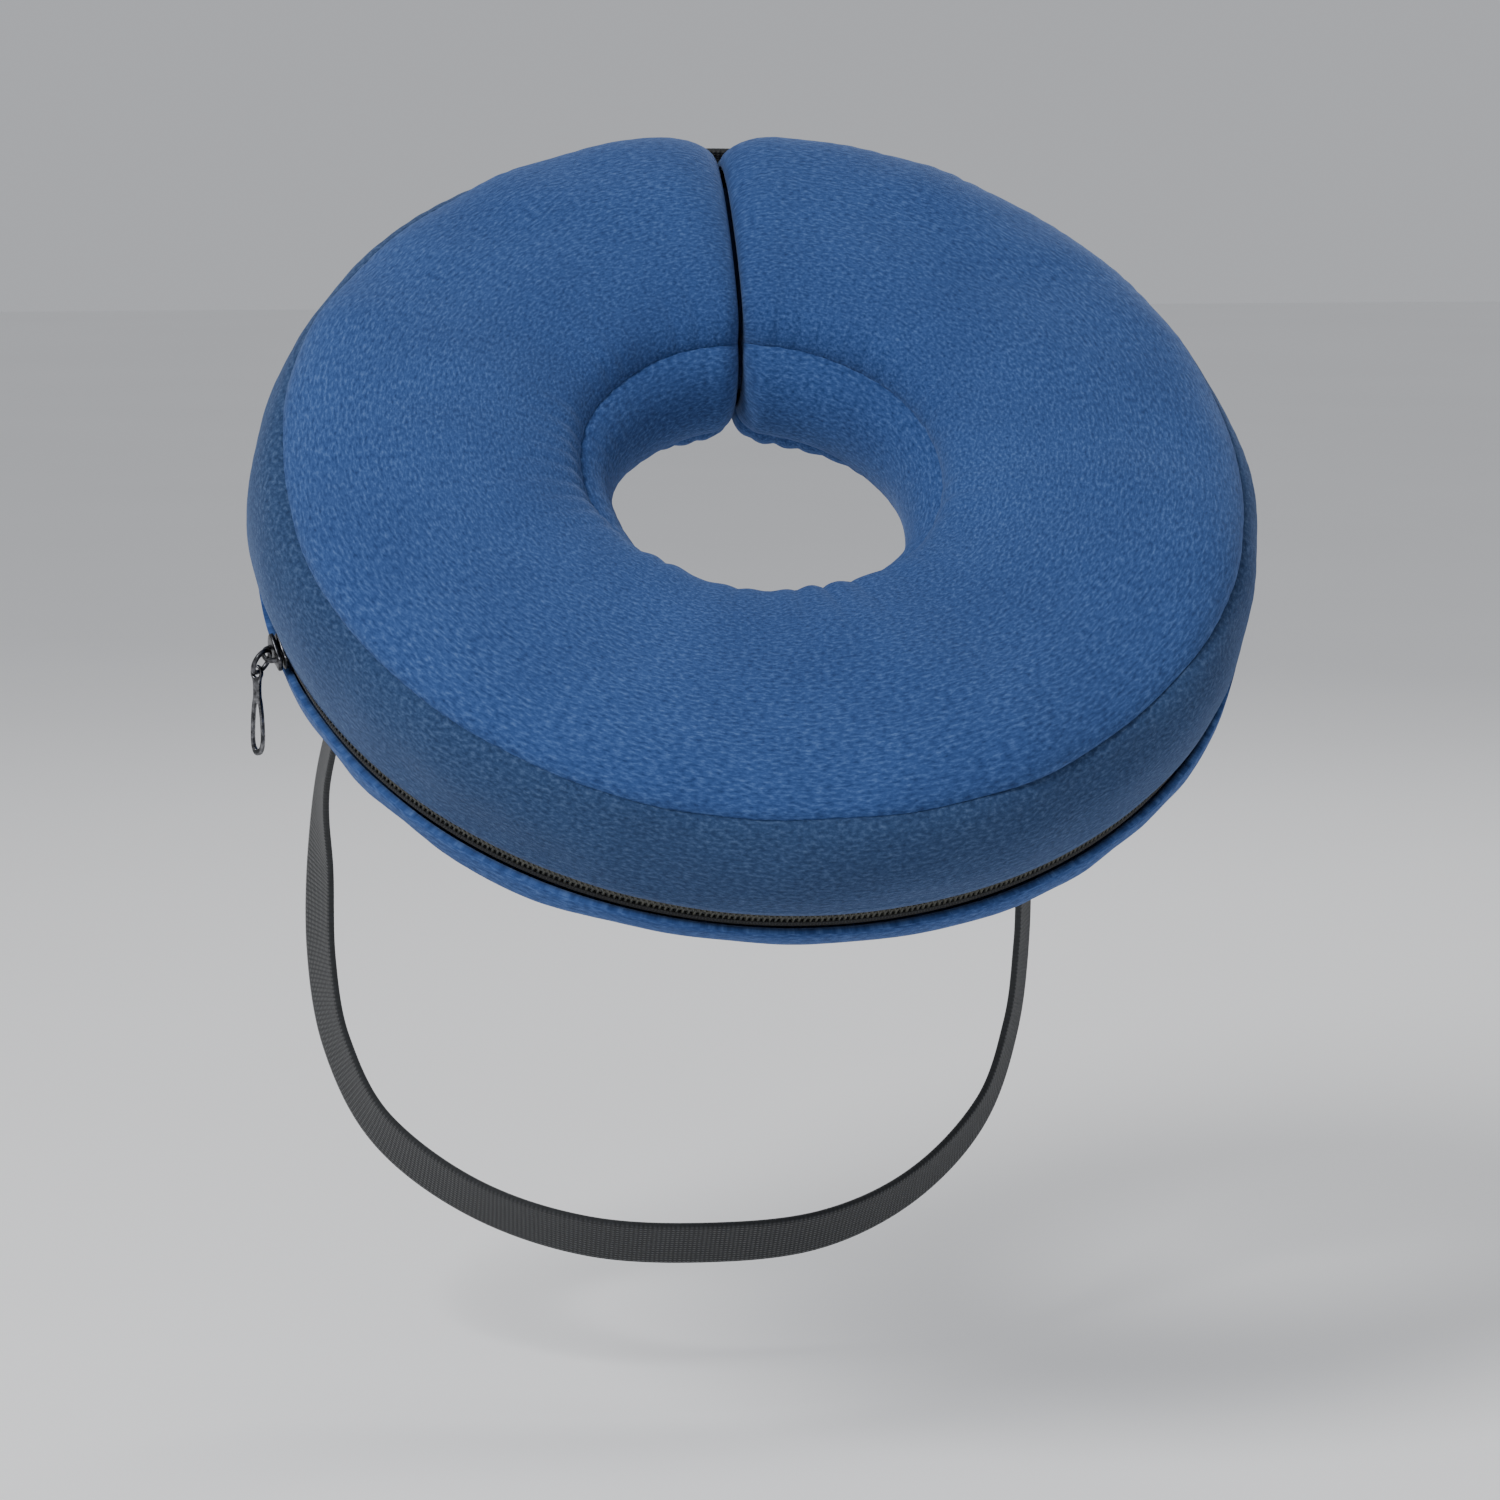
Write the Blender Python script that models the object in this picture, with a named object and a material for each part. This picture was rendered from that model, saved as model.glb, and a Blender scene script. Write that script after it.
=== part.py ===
"""Inflatable recovery collar: a padded, slit ring with its security strap.

Metres, +Z up. The origin is the centre of the neck hole. The front of the ring faces -Y and up.
Ring pieces are swept round the neck axis from one half of the slit, at twelve o'clock, to the other.
"""

import bpy
import bmesh
import math
from mathutils import Matrix, Vector

# Driving sizes of the ring
OUTER_RADIUS = 0.1222
SEAM_INSET = 0.0062
HOLE_RADIUS = 0.0380
RING_DEPTH = 0.0560
FACE_TILT = math.radians(50.0)
SLIT = 0.0012
END_ROUNDING = 0.0065
SEAM_DIP = 0.0026

# Walls and clearances
CLOTH = 0.0016
VINYL = 0.0010
GAP = 0.0003
BLADDER_GAP = 0.0004
END_PANEL_GAP = 0.0026
TURN_IN = 0.0022

# Stations round the ring, in degrees from the slit
END_STATIONS = (0.0, 1.5, 4.0, 8.5, 15.0)
MAIN_STATIONS = 35
ROUNDED_ANGLE = 8.5
SLIT_BLEND = 60.0

# Zip
ZIP_WIDTH = 0.0064
ZIP_CENTRE = -0.0110
TAPE_INSET = 0.0012
TAPE_THICK = 0.0010
COIL_WIDTH = 0.0030
COIL_HEIGHT = 0.0020
ZIP_START = 97.5
SLIDER_ANGLE = 254.0

# Slider and pull
SLIDER_LENGTH = 0.0090
SLIDER_WIDTH = 0.0072
SLIDER_THICK = 0.0026
BRIDGE_HEIGHT = 0.0030
BRIDGE_LENGTH = 0.0052
BRIDGE_WIRE = 0.0012
BAIL_RADIUS = 0.0030
BAIL_WIRE = 0.0006
PULL_LENGTH = 0.0220
PULL_WIDTH = 0.0036
PULL_THICK = 0.0013
PULL_EYE = 0.085
BAIL_SIDES = 12

# Security strap and closure
STRAP_WIDTH = 0.0160
STRAP_THICK = 0.0018
STRAP_REACH = 0.0960
STRAP_DROP = 0.2000
STRAP_SETBACK = 0.1100
STRAP_LEAN = -0.0070
STRAP_RADIUS = 0.0960
STRAP_END_ANGLE = 60.0
STRAP_SEWN = 0.0220
STRAP_STEPS = 3
TAB_WIDTH = 0.0160
TAB_ANGLE = 20.0
TAB_THICK = 0.0018

BLUE = (0.045, 0.105, 0.300, 1.0)
BLACK = (0.015, 0.017, 0.019, 1.0)
STEEL = (0.30, 0.31, 0.33, 1.0)
CLEAR = (0.70, 0.74, 0.78, 1.0)

RING_TURN = Matrix.Rotation(math.pi / 2.0 - FACE_TILT, 4, "X")
RING_FRONT = RING_TURN @ Vector((0.0, 0.0, 1.0))
RING_UP = RING_TURN @ Vector((0.0, 1.0, 0.0))
HALF_DEPTH = RING_DEPTH / 2.0
SEAM_RADIUS = OUTER_RADIUS - SEAM_INSET
SECTION_WIDTH = OUTER_RADIUS - HOLE_RADIUS
NECK_SEAM = 0.48 * HALF_DEPTH
FRONT_SEAM = 0.62 * HALF_DEPTH

# Panels as (share of the section's width from the hole, share of the half depth), outer face only
FRONT_CROWN = (
    (0.895, 0.795),
    (0.830, 0.905),
    (0.710, 0.985),
    (0.545, 1.000),
    (0.375, 0.955),
    (0.235, 0.860),
    (0.125, 0.720),
)
BACK_CROWN = (
    (0.110, -0.700),
    (0.220, -0.850),
    (0.370, -0.950),
    (0.545, -1.000),
    (0.720, -0.985),
    (0.850, -0.925),
    (0.935, -0.830),
    (0.980, -0.690),
)
NECK_CROWN = ((0.022, 0.300), (0.000, 0.000), (0.022, -0.300))
SIDE_CROWN = ((0.972, 0.480), (0.996, 0.270), (1.000, 0.000))
BLADDER_CROWN = (
    (0.050, 0.000),
    (0.072, 0.240),
    (0.150, 0.340),
    (0.180, 0.610),
    (0.370, 0.850),
    (0.545, 0.930),
    (0.700, 0.890),
    (0.815, 0.740),
    (0.885, 0.440),
    (0.945, 0.100),
    (0.915, -0.600),
    (0.830, -0.800),
    (0.700, -0.890),
    (0.545, -0.930),
    (0.370, -0.850),
    (0.180, -0.610),
    (0.150, -0.340),
    (0.072, -0.240),
)


def share(width_share, depth_share):
    """A point of the section, (radius, depth), from shares of its width and half depth."""
    return (HOLE_RADIUS + width_share * SECTION_WIDTH, depth_share * HALF_DEPTH)


def material(name, colour, roughness, metallic=0.0):
    made = bpy.data.materials.new(name)
    made.use_nodes = True
    shader = made.node_tree.nodes["Principled BSDF"]
    shader.inputs["Base Color"].default_value = colour
    shader.inputs["Roughness"].default_value = roughness
    shader.inputs["Metallic"].default_value = metallic
    return made


def add_object(name, mesh, finish):
    made = bpy.data.objects.new(name, mesh)
    bpy.context.scene.collection.objects.link(made)
    mesh.materials.append(finish)
    return made


def finish_mesh(name, work):
    """A mesh from a bmesh, with its faces pointing out and its round parts smooth."""
    bmesh.ops.recalc_face_normals(work, faces=work.faces)
    bmesh.ops.triangulate(work, faces=work.faces)
    mesh = bpy.data.meshes.new(name)
    work.to_mesh(mesh)
    work.free()
    mesh.shade_smooth()
    mesh.set_sharp_from_angle(angle=math.radians(40.0))
    return mesh


def skin_loops(work, loops):
    """Joins a row of equal loops to one closed body, with a face at each end."""
    count = len(loops[0])
    for near, far in zip(loops, loops[1:]):
        for step in range(count):
            after = (step + 1) % count
            work.faces.new((near[step], near[after], far[after], far[step]))
    work.faces.new(loops[0])
    work.faces.new(loops[-1])


def stations(first=0.0, last=360.0):
    """Angles round the ring from first to last, shared by all pieces so that their facets line up."""
    inner = END_STATIONS[-1]
    pitch = (360.0 - 2.0 * inner) / MAIN_STATIONS
    full = list(END_STATIONS)
    full += [inner + pitch * step for step in range(1, MAIN_STATIONS)]
    full += [360.0 - angle for angle in reversed(END_STATIONS)]
    kept = [angle for angle in full if first + 1e-6 < angle < last - 1e-6]
    return [first] + kept + [last]


def from_slit(angle):
    return min(angle, 360.0 - angle)


def end_inset(angle):
    """How far the section draws in towards its middle near the slit, as a quarter round."""
    run = min(1.0, from_slit(angle) / ROUNDED_ANGLE)
    return END_ROUNDING * (1.0 - math.sqrt(1.0 - (1.0 - run) ** 2))


def pull_in(point, inset):
    """A section point drawn in by inset across the width and the depth."""
    middle = HOLE_RADIUS + SECTION_WIDTH / 2.0
    radius = middle + (point[0] - middle) * (1.0 - 2.0 * inset / SECTION_WIDTH)
    return (radius, point[1] * (1.0 - inset / HALF_DEPTH))


def place(point, angle, opening):
    """The ring position of a section point at a station, opening being its distance from the slit."""
    turn = math.radians(angle)
    side = 1.0 if angle < 180.0 else -1.0
    shift = side * opening * max(0.0, 1.0 - from_slit(angle) / SLIT_BLEND)
    local = Vector((point[0] * math.sin(turn) + shift, point[0] * math.cos(turn), point[1]))
    return RING_TURN @ local


def sweep(name, section, angles, opening=SLIT / 2.0, rounded=True):
    """A closed body swept round the ring. section(angle) gives its closed outline at a station."""
    work = bmesh.new()
    loops = []
    for angle in angles:
        inset = end_inset(angle) if rounded else 0.0
        outline = [pull_in(point, inset) for point in section(angle)]
        loops.append([work.verts.new(place(point, angle, opening)) for point in outline])
    skin_loops(work, loops)
    return finish_mesh(name, work)


def offset(path, distance):
    """The open path moved sideways by distance, to the right of its run."""
    moved = []
    for step, point in enumerate(path):
        before = path[max(step - 1, 0)]
        after = path[min(step + 1, len(path) - 1)]
        run = (after[0] - before[0], after[1] - before[1])
        length = math.hypot(*run)
        moved.append(
            (point[0] + distance * run[1] / length, point[1] - distance * run[0] / length)
        )
    return moved


def shell(path, wall):
    """A closed outline: the path, and the same path one wall to its right, back again."""
    return list(path) + list(reversed(offset(path, wall)))


def zip_open(angle):
    """1 where the zip is at full width, 0 past its two ends."""
    pitch = (360.0 - 2.0 * END_STATIONS[-1]) / MAIN_STATIONS
    return max(0.0, min(1.0, (from_slit(angle) - ZIP_START) / pitch + 1.0))


def front_section(angle):
    """Front panel, from the outer seam over the crown to the neck seam. Both edges turn in."""
    crown = [share(*row) for row in FRONT_CROWN]
    outer = (SEAM_RADIUS, FRONT_SEAM + GAP)
    neck = (HOLE_RADIUS + SEAM_DIP + 0.06 * SECTION_WIDTH, NECK_SEAM + GAP)
    path = [(outer[0] - TURN_IN, outer[1] - 0.4 * TURN_IN), outer]
    path += [(SEAM_RADIUS - 0.15 * SEAM_DIP, FRONT_SEAM + 0.9 * SEAM_DIP)]
    path += crown
    path += [neck, (neck[0] + TURN_IN, neck[1] - 0.15 * TURN_IN)]
    return shell(path, -CLOTH)


def side_section(angle):
    """Side band, from the outer seam over its bulge to the front edge of the zip."""
    seam = (SEAM_RADIUS + GAP, FRONT_SEAM - GAP)
    edge = ZIP_CENTRE + zip_open(angle) * ZIP_WIDTH / 2.0 + GAP / 2.0
    bulge = [share(*row) for row in SIDE_CROWN]
    path = [(seam[0] - TURN_IN, seam[1] - 0.5 * TURN_IN), seam]
    path += [(SEAM_RADIUS + 0.9 * SEAM_DIP, FRONT_SEAM - 0.55 * SEAM_DIP)]
    path += bulge
    path += [(OUTER_RADIUS - 0.0009, edge)]
    return shell(path, CLOTH)


def back_section(angle):
    """Back panel, from the neck seam over the back crown and shoulder to the rear edge of the zip."""
    crown = [share(*row) for row in BACK_CROWN]
    neck = (HOLE_RADIUS + SEAM_DIP + 0.06 * SECTION_WIDTH, -NECK_SEAM - GAP)
    edge = ZIP_CENTRE - zip_open(angle) * ZIP_WIDTH / 2.0 - GAP / 2.0
    path = [(neck[0] + TURN_IN, neck[1] + 0.15 * TURN_IN), neck]
    path += crown
    path += [(OUTER_RADIUS - 0.0009, edge)]
    return shell(path, -CLOTH)


def neck_section(angle):
    """Neck panel, the wall of the hole, between the two neck seams."""
    seam = HOLE_RADIUS + SEAM_DIP + 0.06 * SECTION_WIDTH
    wall = [share(*row) for row in NECK_CROWN]
    path = [(seam + TURN_IN, NECK_SEAM - 0.30 * TURN_IN), (seam - 0.3 * TURN_IN, NECK_SEAM - GAP)]
    path += wall
    path += [(seam - 0.3 * TURN_IN, -NECK_SEAM + GAP), (seam + TURN_IN, -NECK_SEAM + 0.30 * TURN_IN)]
    return shell(path, -CLOTH)


def tape_section(side):
    """One zip tape, just inside the cover's edge, from under the cloth to the coil."""

    def section(angle):
        scale = max(0.12, zip_open(angle))
        lip = ZIP_CENTRE + side * scale * (ZIP_WIDTH / 2.0 - GAP)
        root = ZIP_CENTRE + side * scale * (COIL_WIDTH / 2.0 + GAP)
        top = OUTER_RADIUS - TAPE_INSET
        low = top - TAPE_THICK
        return [(top, lip), (top, root), (low, root), (low, lip)]

    return section


def coil_section(angle):
    """The closed coil as one low half-round rib."""
    scale = max(0.12, zip_open(angle))
    base = OUTER_RADIUS - TAPE_INSET - TAPE_THICK
    outline = []
    for step in range(5):
        turn = math.pi * step / 4.0
        depth = ZIP_CENTRE + scale * 0.5 * COIL_WIDTH * math.cos(turn)
        outline.append((base + COIL_HEIGHT * (0.45 + 0.55 * math.sin(turn)), depth))
    outline += [(base, ZIP_CENTRE - scale * 0.5 * COIL_WIDTH)]
    outline += [(base, ZIP_CENTRE + scale * 0.5 * COIL_WIDTH)]
    return outline


def tab_section(angle):
    """Closure tab over the side band, following its bulge a clearance away."""
    path = []
    for depth in (0.5, 0.2, -0.2, -0.5):
        place_on = TAB_WIDTH * depth + 0.10 * HALF_DEPTH
        path.append((OUTER_RADIUS + GAP + TAB_THICK, place_on))
    return shell(path, TAB_THICK)


def bladder_mesh(name):
    """Air bladder: a hollow vinyl body with its valve hole in the back wall, at six o'clock."""
    outer = [share(*row) for row in BLADDER_CROWN]
    middle = HOLE_RADIUS + SECTION_WIDTH / 2.0
    inner = []
    for radius, depth in outer:
        away = math.hypot(radius - middle, depth)
        inner.append((radius - VINYL * (radius - middle) / away, depth - VINYL * depth / away))
    angles = stations()
    start = SLIT / 2.0 + CLOTH + BLADDER_GAP
    work = bmesh.new()
    skins = []
    for outline, opening in ((outer, start), (inner, start + VINYL)):
        loops = []
        for angle in angles:
            inset = end_inset(angle)
            ring = [pull_in(point, inset) for point in outline]
            loops.append([work.verts.new(place(point, angle, opening)) for point in ring])
        skins.append(loops)
    count = len(outer)
    valve_side = min(range(count), key=lambda step: outer[step][1])
    valve_station = len(angles) // 2 - 1
    for loops in skins:
        for row, (near, far) in enumerate(zip(loops, loops[1:])):
            for step in range(count):
                after = (step + 1) % count
                if row == valve_station and step == valve_side:
                    continue
                work.faces.new((near[step], near[after], far[after], far[step]))
        work.faces.new(loops[0])
        work.faces.new(loops[-1])
    corners = []
    for loops in skins:
        near = loops[valve_station]
        far = loops[valve_station + 1]
        corners.append((near[valve_side], near[valve_side + 1], far[valve_side + 1], far[valve_side]))
    for step in range(4):
        after = (step + 1) % 4
        work.faces.new((corners[0][step], corners[0][after], corners[1][after], corners[1][step]))
    return finish_mesh(name, work)


def end_panel_mesh(name, side):
    """The flat panel that closes one end of the ring, just inside the ends of the swept panels."""
    inset = END_ROUNDING + CLOTH + END_PANEL_GAP
    outline = [pull_in(share(*row), inset) for row in FRONT_CROWN + NECK_CROWN + BACK_CROWN]
    start = SLIT / 2.0
    work = bmesh.new()
    faces = []
    for reach in (start, start + CLOTH):
        ring = []
        for radius, depth in outline:
            across = side * reach
            ring.append(work.verts.new(RING_TURN @ Vector((across, radius, depth))))
        faces.append(ring)
        work.faces.new(ring)
    count = len(outline)
    for step in range(count):
        after = (step + 1) % count
        work.faces.new((faces[0][step], faces[0][after], faces[1][after], faces[1][step]))
    return finish_mesh(name, work)


# Security strap, one half, from the sewn end down to the middle of the chest: shares of the reach,
# setback and drop, then the outer face's direction as (out sideways, to the front, down)
STRAP_ROUTE = (
    (0.890, 0.432, -0.003, 0.00, -0.64, 0.77),
    (0.922, 0.445, -0.095, 0.30, -0.60, 0.60),
    (0.963, 0.590, -0.230, 0.75, -0.45, 0.25),
    (0.995, 0.820, -0.370, 0.93, -0.05, 0.05),
    (1.000, 0.965, -0.500, 0.93, 0.30, 0.00),
    (1.000, 1.000, -0.640, 0.93, 0.37, 0.00),
    (0.962, 0.973, -0.760, 0.93, 0.37, 0.05),
    (0.850, 0.882, -0.868, 0.85, 0.42, 0.25),
    (0.620, 0.745, -0.948, 0.55, 0.60, 0.50),
    (0.330, 0.630, -0.990, 0.25, 0.74, 0.60),
    (0.000, 0.600, -1.000, 0.00, 0.78, 0.62),
)


def smooth_route(points, steps):
    """A Catmull-Rom curve through the points, with the given steps to each span."""
    made = []
    last = len(points) - 1
    for span in range(last):
        around = [points[max(0, min(last, span + shift))] for shift in (-1, 0, 1, 2)]
        for step in range(steps):
            made.append(catmull(around, step / steps))
    made.append(points[-1])
    return made


def catmull(around, part):
    before, start, end, after = around
    square = part * part
    cube = square * part
    return (
        start
        + (end - before) * (0.5 * part)
        + (before - start * 2.5 + end * 2.0 - after * 0.5) * square
        + (start * 1.5 - before * 0.5 - end * 1.5 + after * 0.5) * cube
    )


def back_point(angle, radius, lift):
    """A point over the back panel's crown, lifted from it."""
    turn = math.radians(angle)
    depth = -(HALF_DEPTH + lift)
    local = Vector((radius * math.sin(turn), radius * math.cos(turn), depth))
    return RING_TURN @ local


def strap_half(side):
    """Places and outer face directions down one side, from the sewn end to the chest."""
    lift = GAP + STRAP_THICK / 2.0
    foot = back_point(side * STRAP_END_ANGLE, STRAP_RADIUS, lift)
    half = [(foot + RING_UP * (STRAP_SEWN * part), -RING_FRONT) for part in (1.0, 0.5, 0.0)]
    for reach, setback, drop, out, front, down in STRAP_ROUTE:
        lean = STRAP_LEAN * min(1.0, -2.6 * drop) * (0.3 + 0.7 * reach)
        spot = (side * reach * STRAP_REACH + lean, setback * STRAP_SETBACK, drop * STRAP_DROP)
        half.append((Vector(spot), Vector((side * out, -front, -down)).normalized()))
    return half


def strap_mesh(name):
    """One web from the back panel down one side, across the chest and up the other side."""
    rows = strap_half(1.0) + list(reversed(strap_half(-1.0)[:-1]))
    path = smooth_route([row[0] for row in rows], STRAP_STEPS)
    faces = smooth_route([row[1] for row in rows], STRAP_STEPS)
    last = len(path) - 1
    half = STRAP_WIDTH / 2.0
    work = bmesh.new()
    loops = []
    for step, spot in enumerate(path):
        run = (path[min(step + 1, last)] - path[max(step - 1, 0)]).normalized()
        face = (faces[step] - run * faces[step].dot(run)).normalized()
        across = run.cross(face)
        rim = ((-half, -0.5), (0.0, -0.5), (half, -0.5), (half, 0.5), (0.0, 0.5), (-half, 0.5))
        loops.append([work.verts.new(spot + across * a + face * (f * STRAP_THICK)) for a, f in rim])
    skin_loops(work, loops)
    return finish_mesh(name, work)


def slider_frame():
    """The slider's axes: its seat on the zip, out of the ring, along the zip, and across it."""
    turn = math.radians(SLIDER_ANGLE)
    out = RING_TURN @ Vector((math.sin(turn), math.cos(turn), 0.0))
    along = RING_TURN @ Vector((math.cos(turn), -math.sin(turn), 0.0))
    seat = RING_TURN @ Vector((0.0, 0.0, ZIP_CENTRE)) + out * (
        OUTER_RADIUS - TAPE_INSET - TAPE_THICK + COIL_HEIGHT + GAP
    )
    return seat, out, along, RING_FRONT


def rounded_plate(work, corner, out, along, across, length, width, height, steps=3):
    """A plate with rounded corners, standing on corner, its middle at that point."""
    radius = 0.35 * min(length, width)
    outline = []
    for quarter in range(4):
        centre_x = (length / 2.0 - radius) * (1 if quarter in (0, 3) else -1)
        centre_y = (width / 2.0 - radius) * (1 if quarter in (0, 1) else -1)
        for step in range(steps + 1):
            turn = math.radians(90.0 * quarter + 90.0 * step / steps)
            outline.append((centre_x + radius * math.cos(turn), centre_y + radius * math.sin(turn)))
    rings = []
    for level in (0.0, height):
        ring = [work.verts.new(corner + out * level + along * x + across * y) for x, y in outline]
        rings.append(ring)
        work.faces.new(ring)
    for step in range(len(outline)):
        after = (step + 1) % len(outline)
        work.faces.new((rings[0][step], rings[0][after], rings[1][after], rings[1][step]))


def tube(name, centres, radius, sides, closed, finish):
    """A round wire through the centres, as a curve with a bevel, or a closed ring of it."""
    curve = bpy.data.curves.new(name, "CURVE")
    curve.dimensions = "3D"
    spline = curve.splines.new("POLY")
    spline.points.add(len(centres) - 1)
    for point, centre in zip(spline.points, centres):
        point.co = (*centre, 1.0)
    spline.use_cyclic_u = closed
    curve.bevel_depth = radius
    curve.bevel_resolution = sides
    curve.use_fill_caps = not closed
    return add_object(name, curve, finish)


def make_slider(finish):
    """Slider body with the arched bridge that holds the bail, joined to one body."""
    seat, out, along, across = slider_frame()
    work = bmesh.new()
    rounded_plate(work, seat, out, along, across, SLIDER_LENGTH, SLIDER_WIDTH, SLIDER_THICK)
    body = add_object("zip_slider", finish_mesh("zip_slider", work), finish)
    arch = bmesh.new()
    top = seat + out * (SLIDER_THICK - 0.3 * BRIDGE_WIRE)
    outline = []
    inner = 0.5 - BRIDGE_WIRE / BRIDGE_LENGTH
    roof = BRIDGE_HEIGHT + 0.3 * BRIDGE_WIRE
    for x, y in ((-0.5, 0.0), (-0.5, 0.7), (-0.3, 1.0), (0.3, 1.0), (0.5, 0.7), (0.5, 0.0)):
        outline.append((x * BRIDGE_LENGTH, y * roof))
    for x, y in ((inner, 0.0), (inner, 0.55), (0.15, 0.68), (-0.15, 0.68), (-inner, 0.55), (-inner, 0.0)):
        outline.append((x * BRIDGE_LENGTH, y * roof))
    rings = []
    for side in (-0.5, 0.5):
        shift = across * (side * 1.5 * BRIDGE_WIRE)
        ring = [arch.verts.new(top + along * x + out * y + shift) for x, y in outline]
        rings.append(ring)
    count = len(outline)
    for step in range(count):
        after = (step + 1) % count
        arch.faces.new((rings[0][step], rings[0][after], rings[1][after], rings[1][step]))
    for ring in rings:
        for step in range(5):
            arch.faces.new((ring[step], ring[step + 1], ring[10 - step], ring[11 - step]))
    bridge = add_object("zip_slider_bridge", finish_mesh("zip_slider_bridge", arch), finish)
    bridge.hide_render = True
    bridge.display_type = "WIRE"
    join = body.modifiers.new("bridge", "BOOLEAN")
    join.operation = "UNION"
    join.object = bridge
    return body


def make_pull(finish):
    """The bail through the bridge, and the long pull tab hanging straight down from it."""
    seat, out, along, across = slider_frame()
    hang = Vector((0.0, 0.0, -1.0))
    inside = seat + out * (SLIDER_THICK + 0.29 * BRIDGE_HEIGHT)
    tilt = (out * 0.8 - RING_UP * 0.6).normalized()
    centre = inside + tilt * BAIL_RADIUS
    ring = []
    for step in range(BAIL_SIDES):
        turn = 2.0 * math.pi * step / BAIL_SIDES
        around = tilt * math.cos(turn) + across * math.sin(turn)
        ring.append(centre + around * BAIL_RADIUS)
    tube("zip_bail", ring, BAIL_WIRE, 1, True, finish)
    normal = across.cross(tilt)
    down = (hang - normal * hang.dot(normal)).normalized()
    wire_run = normal.cross(down)
    top = centre + down * BAIL_RADIUS - hang * (PULL_EYE * PULL_LENGTH)
    work = bmesh.new()
    pull_outline(work, top, hang, wire_run)
    add_object("zip_pull", finish_mesh("zip_pull", work), finish)


# Pull tab, top to bottom: share of its length, half width and half slot as shares of its width
PULL_ROWS = (
    (0.000, 0.22, 0.00),
    (0.045, 0.42, 0.24),
    (0.110, 0.42, 0.24),
    (0.160, 0.30, 0.00),
    (0.360, 0.30, 0.00),
    (0.430, 0.38, 0.14),
    (0.600, 0.46, 0.24),
    (0.800, 0.50, 0.28),
    (0.920, 0.44, 0.18),
    (0.965, 0.32, 0.00),
    (1.000, 0.14, 0.00),
)


def pull_outline(work, top, hang, away):
    """A flat tab with an eye at the top and a long slot below, as one body with two holes."""
    across = hang.cross(away).normalized()
    rows = []
    for along, half, slot in PULL_ROWS:
        level = top + hang * (along * PULL_LENGTH)
        quad = []
        for side in (-1.0, 1.0):
            for depth in (-0.5, 0.5):
                shift = away * (depth * PULL_THICK)
                outer = work.verts.new(level + across * (side * half * PULL_WIDTH) + shift)
                inner = None
                if slot > 0.0:
                    inner = work.verts.new(level + across * (side * slot * PULL_WIDTH) + shift)
                quad.append((outer, inner))
        if slot == 0.0:
            back = work.verts.new(level - away * (0.5 * PULL_THICK))
            front = work.verts.new(level + away * (0.5 * PULL_THICK))
            quad = [(quad[0][0], back), (quad[1][0], front), (quad[2][0], back), (quad[3][0], front)]
        rows.append((quad, slot))
    for (near, near_slot), (far, far_slot) in zip(rows, rows[1:]):
        for first in (0, 2):
            for depth in (0, 1):
                pair = first + depth
                work.faces.new((near[pair][0], near[pair][1], far[pair][1], far[pair][0]))
            work.faces.new((near[first][0], near[first + 1][0], far[first + 1][0], far[first][0]))
            if near_slot > 0.0 or far_slot > 0.0:
                work.faces.new((near[first][1], near[first + 1][1], far[first + 1][1], far[first][1]))
    for quad, _ in (rows[0], rows[-1]):
        work.faces.new((quad[0][0], quad[0][1], quad[1][1], quad[1][0]))
        work.faces.new((quad[2][0], quad[2][1], quad[3][1], quad[3][0]))


def main():
    for old in list(bpy.data.objects):
        bpy.data.objects.remove(old)
    cloth = material("blue_cloth", BLUE, 0.92)
    side_cloth = material("blue_side_cloth", (0.040, 0.088, 0.225, 1.0), 0.92)
    web = material("black_web", BLACK, 0.80)
    coil = material("black_coil", (0.030, 0.031, 0.024, 1.0), 0.45)
    metal = material("dark_metal", STEEL, 0.30, 0.9)
    vinyl = material("clear_vinyl", CLEAR, 0.35)

    around = stations()
    add_object("cover_front", sweep("cover_front", front_section, around), cloth)
    add_object("cover_side", sweep("cover_side", side_section, around), side_cloth)
    add_object("cover_back", sweep("cover_back", back_section, around), cloth)
    add_object("neck_panel", sweep("neck_panel", neck_section, around), cloth)
    for label, side in (("right", 1.0), ("left", -1.0)):
        name = "end_panel_" + label
        add_object(name, end_panel_mesh(name, side), cloth)

    pitch = (360.0 - 2.0 * END_STATIONS[-1]) / MAIN_STATIONS
    first = ZIP_START - 0.8 * pitch
    zip_angles = stations(first, 360.0 - first)
    for label, side in (("front", 1.0), ("back", -1.0)):
        name = "zip_tape_" + label
        add_object(name, sweep(name, tape_section(side), zip_angles), web)
    add_object("zip_coil", sweep("zip_coil", coil_section, zip_angles), coil)
    make_slider(metal)
    make_pull(metal)

    add_object("air_bladder", bladder_mesh("air_bladder"), vinyl)
    tab_angles = [angle - TAB_ANGLE for angle in (0.0, 5.0, 10.0, 15.0, 20.0, 25.0, 30.0, 35.0, 40.0)]
    add_object("closure_tab", sweep("closure_tab", tab_section, tab_angles, 0.0, False), web)
    add_object("security_strap", strap_mesh("security_strap"), web)


main()
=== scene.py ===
"""Inflatable recovery collar: cloth panels over the air ring, zip, slit closure and chest strap."""

import math

import bmesh
import bpy
import numpy as np
from mathutils import Matrix, Vector


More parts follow.
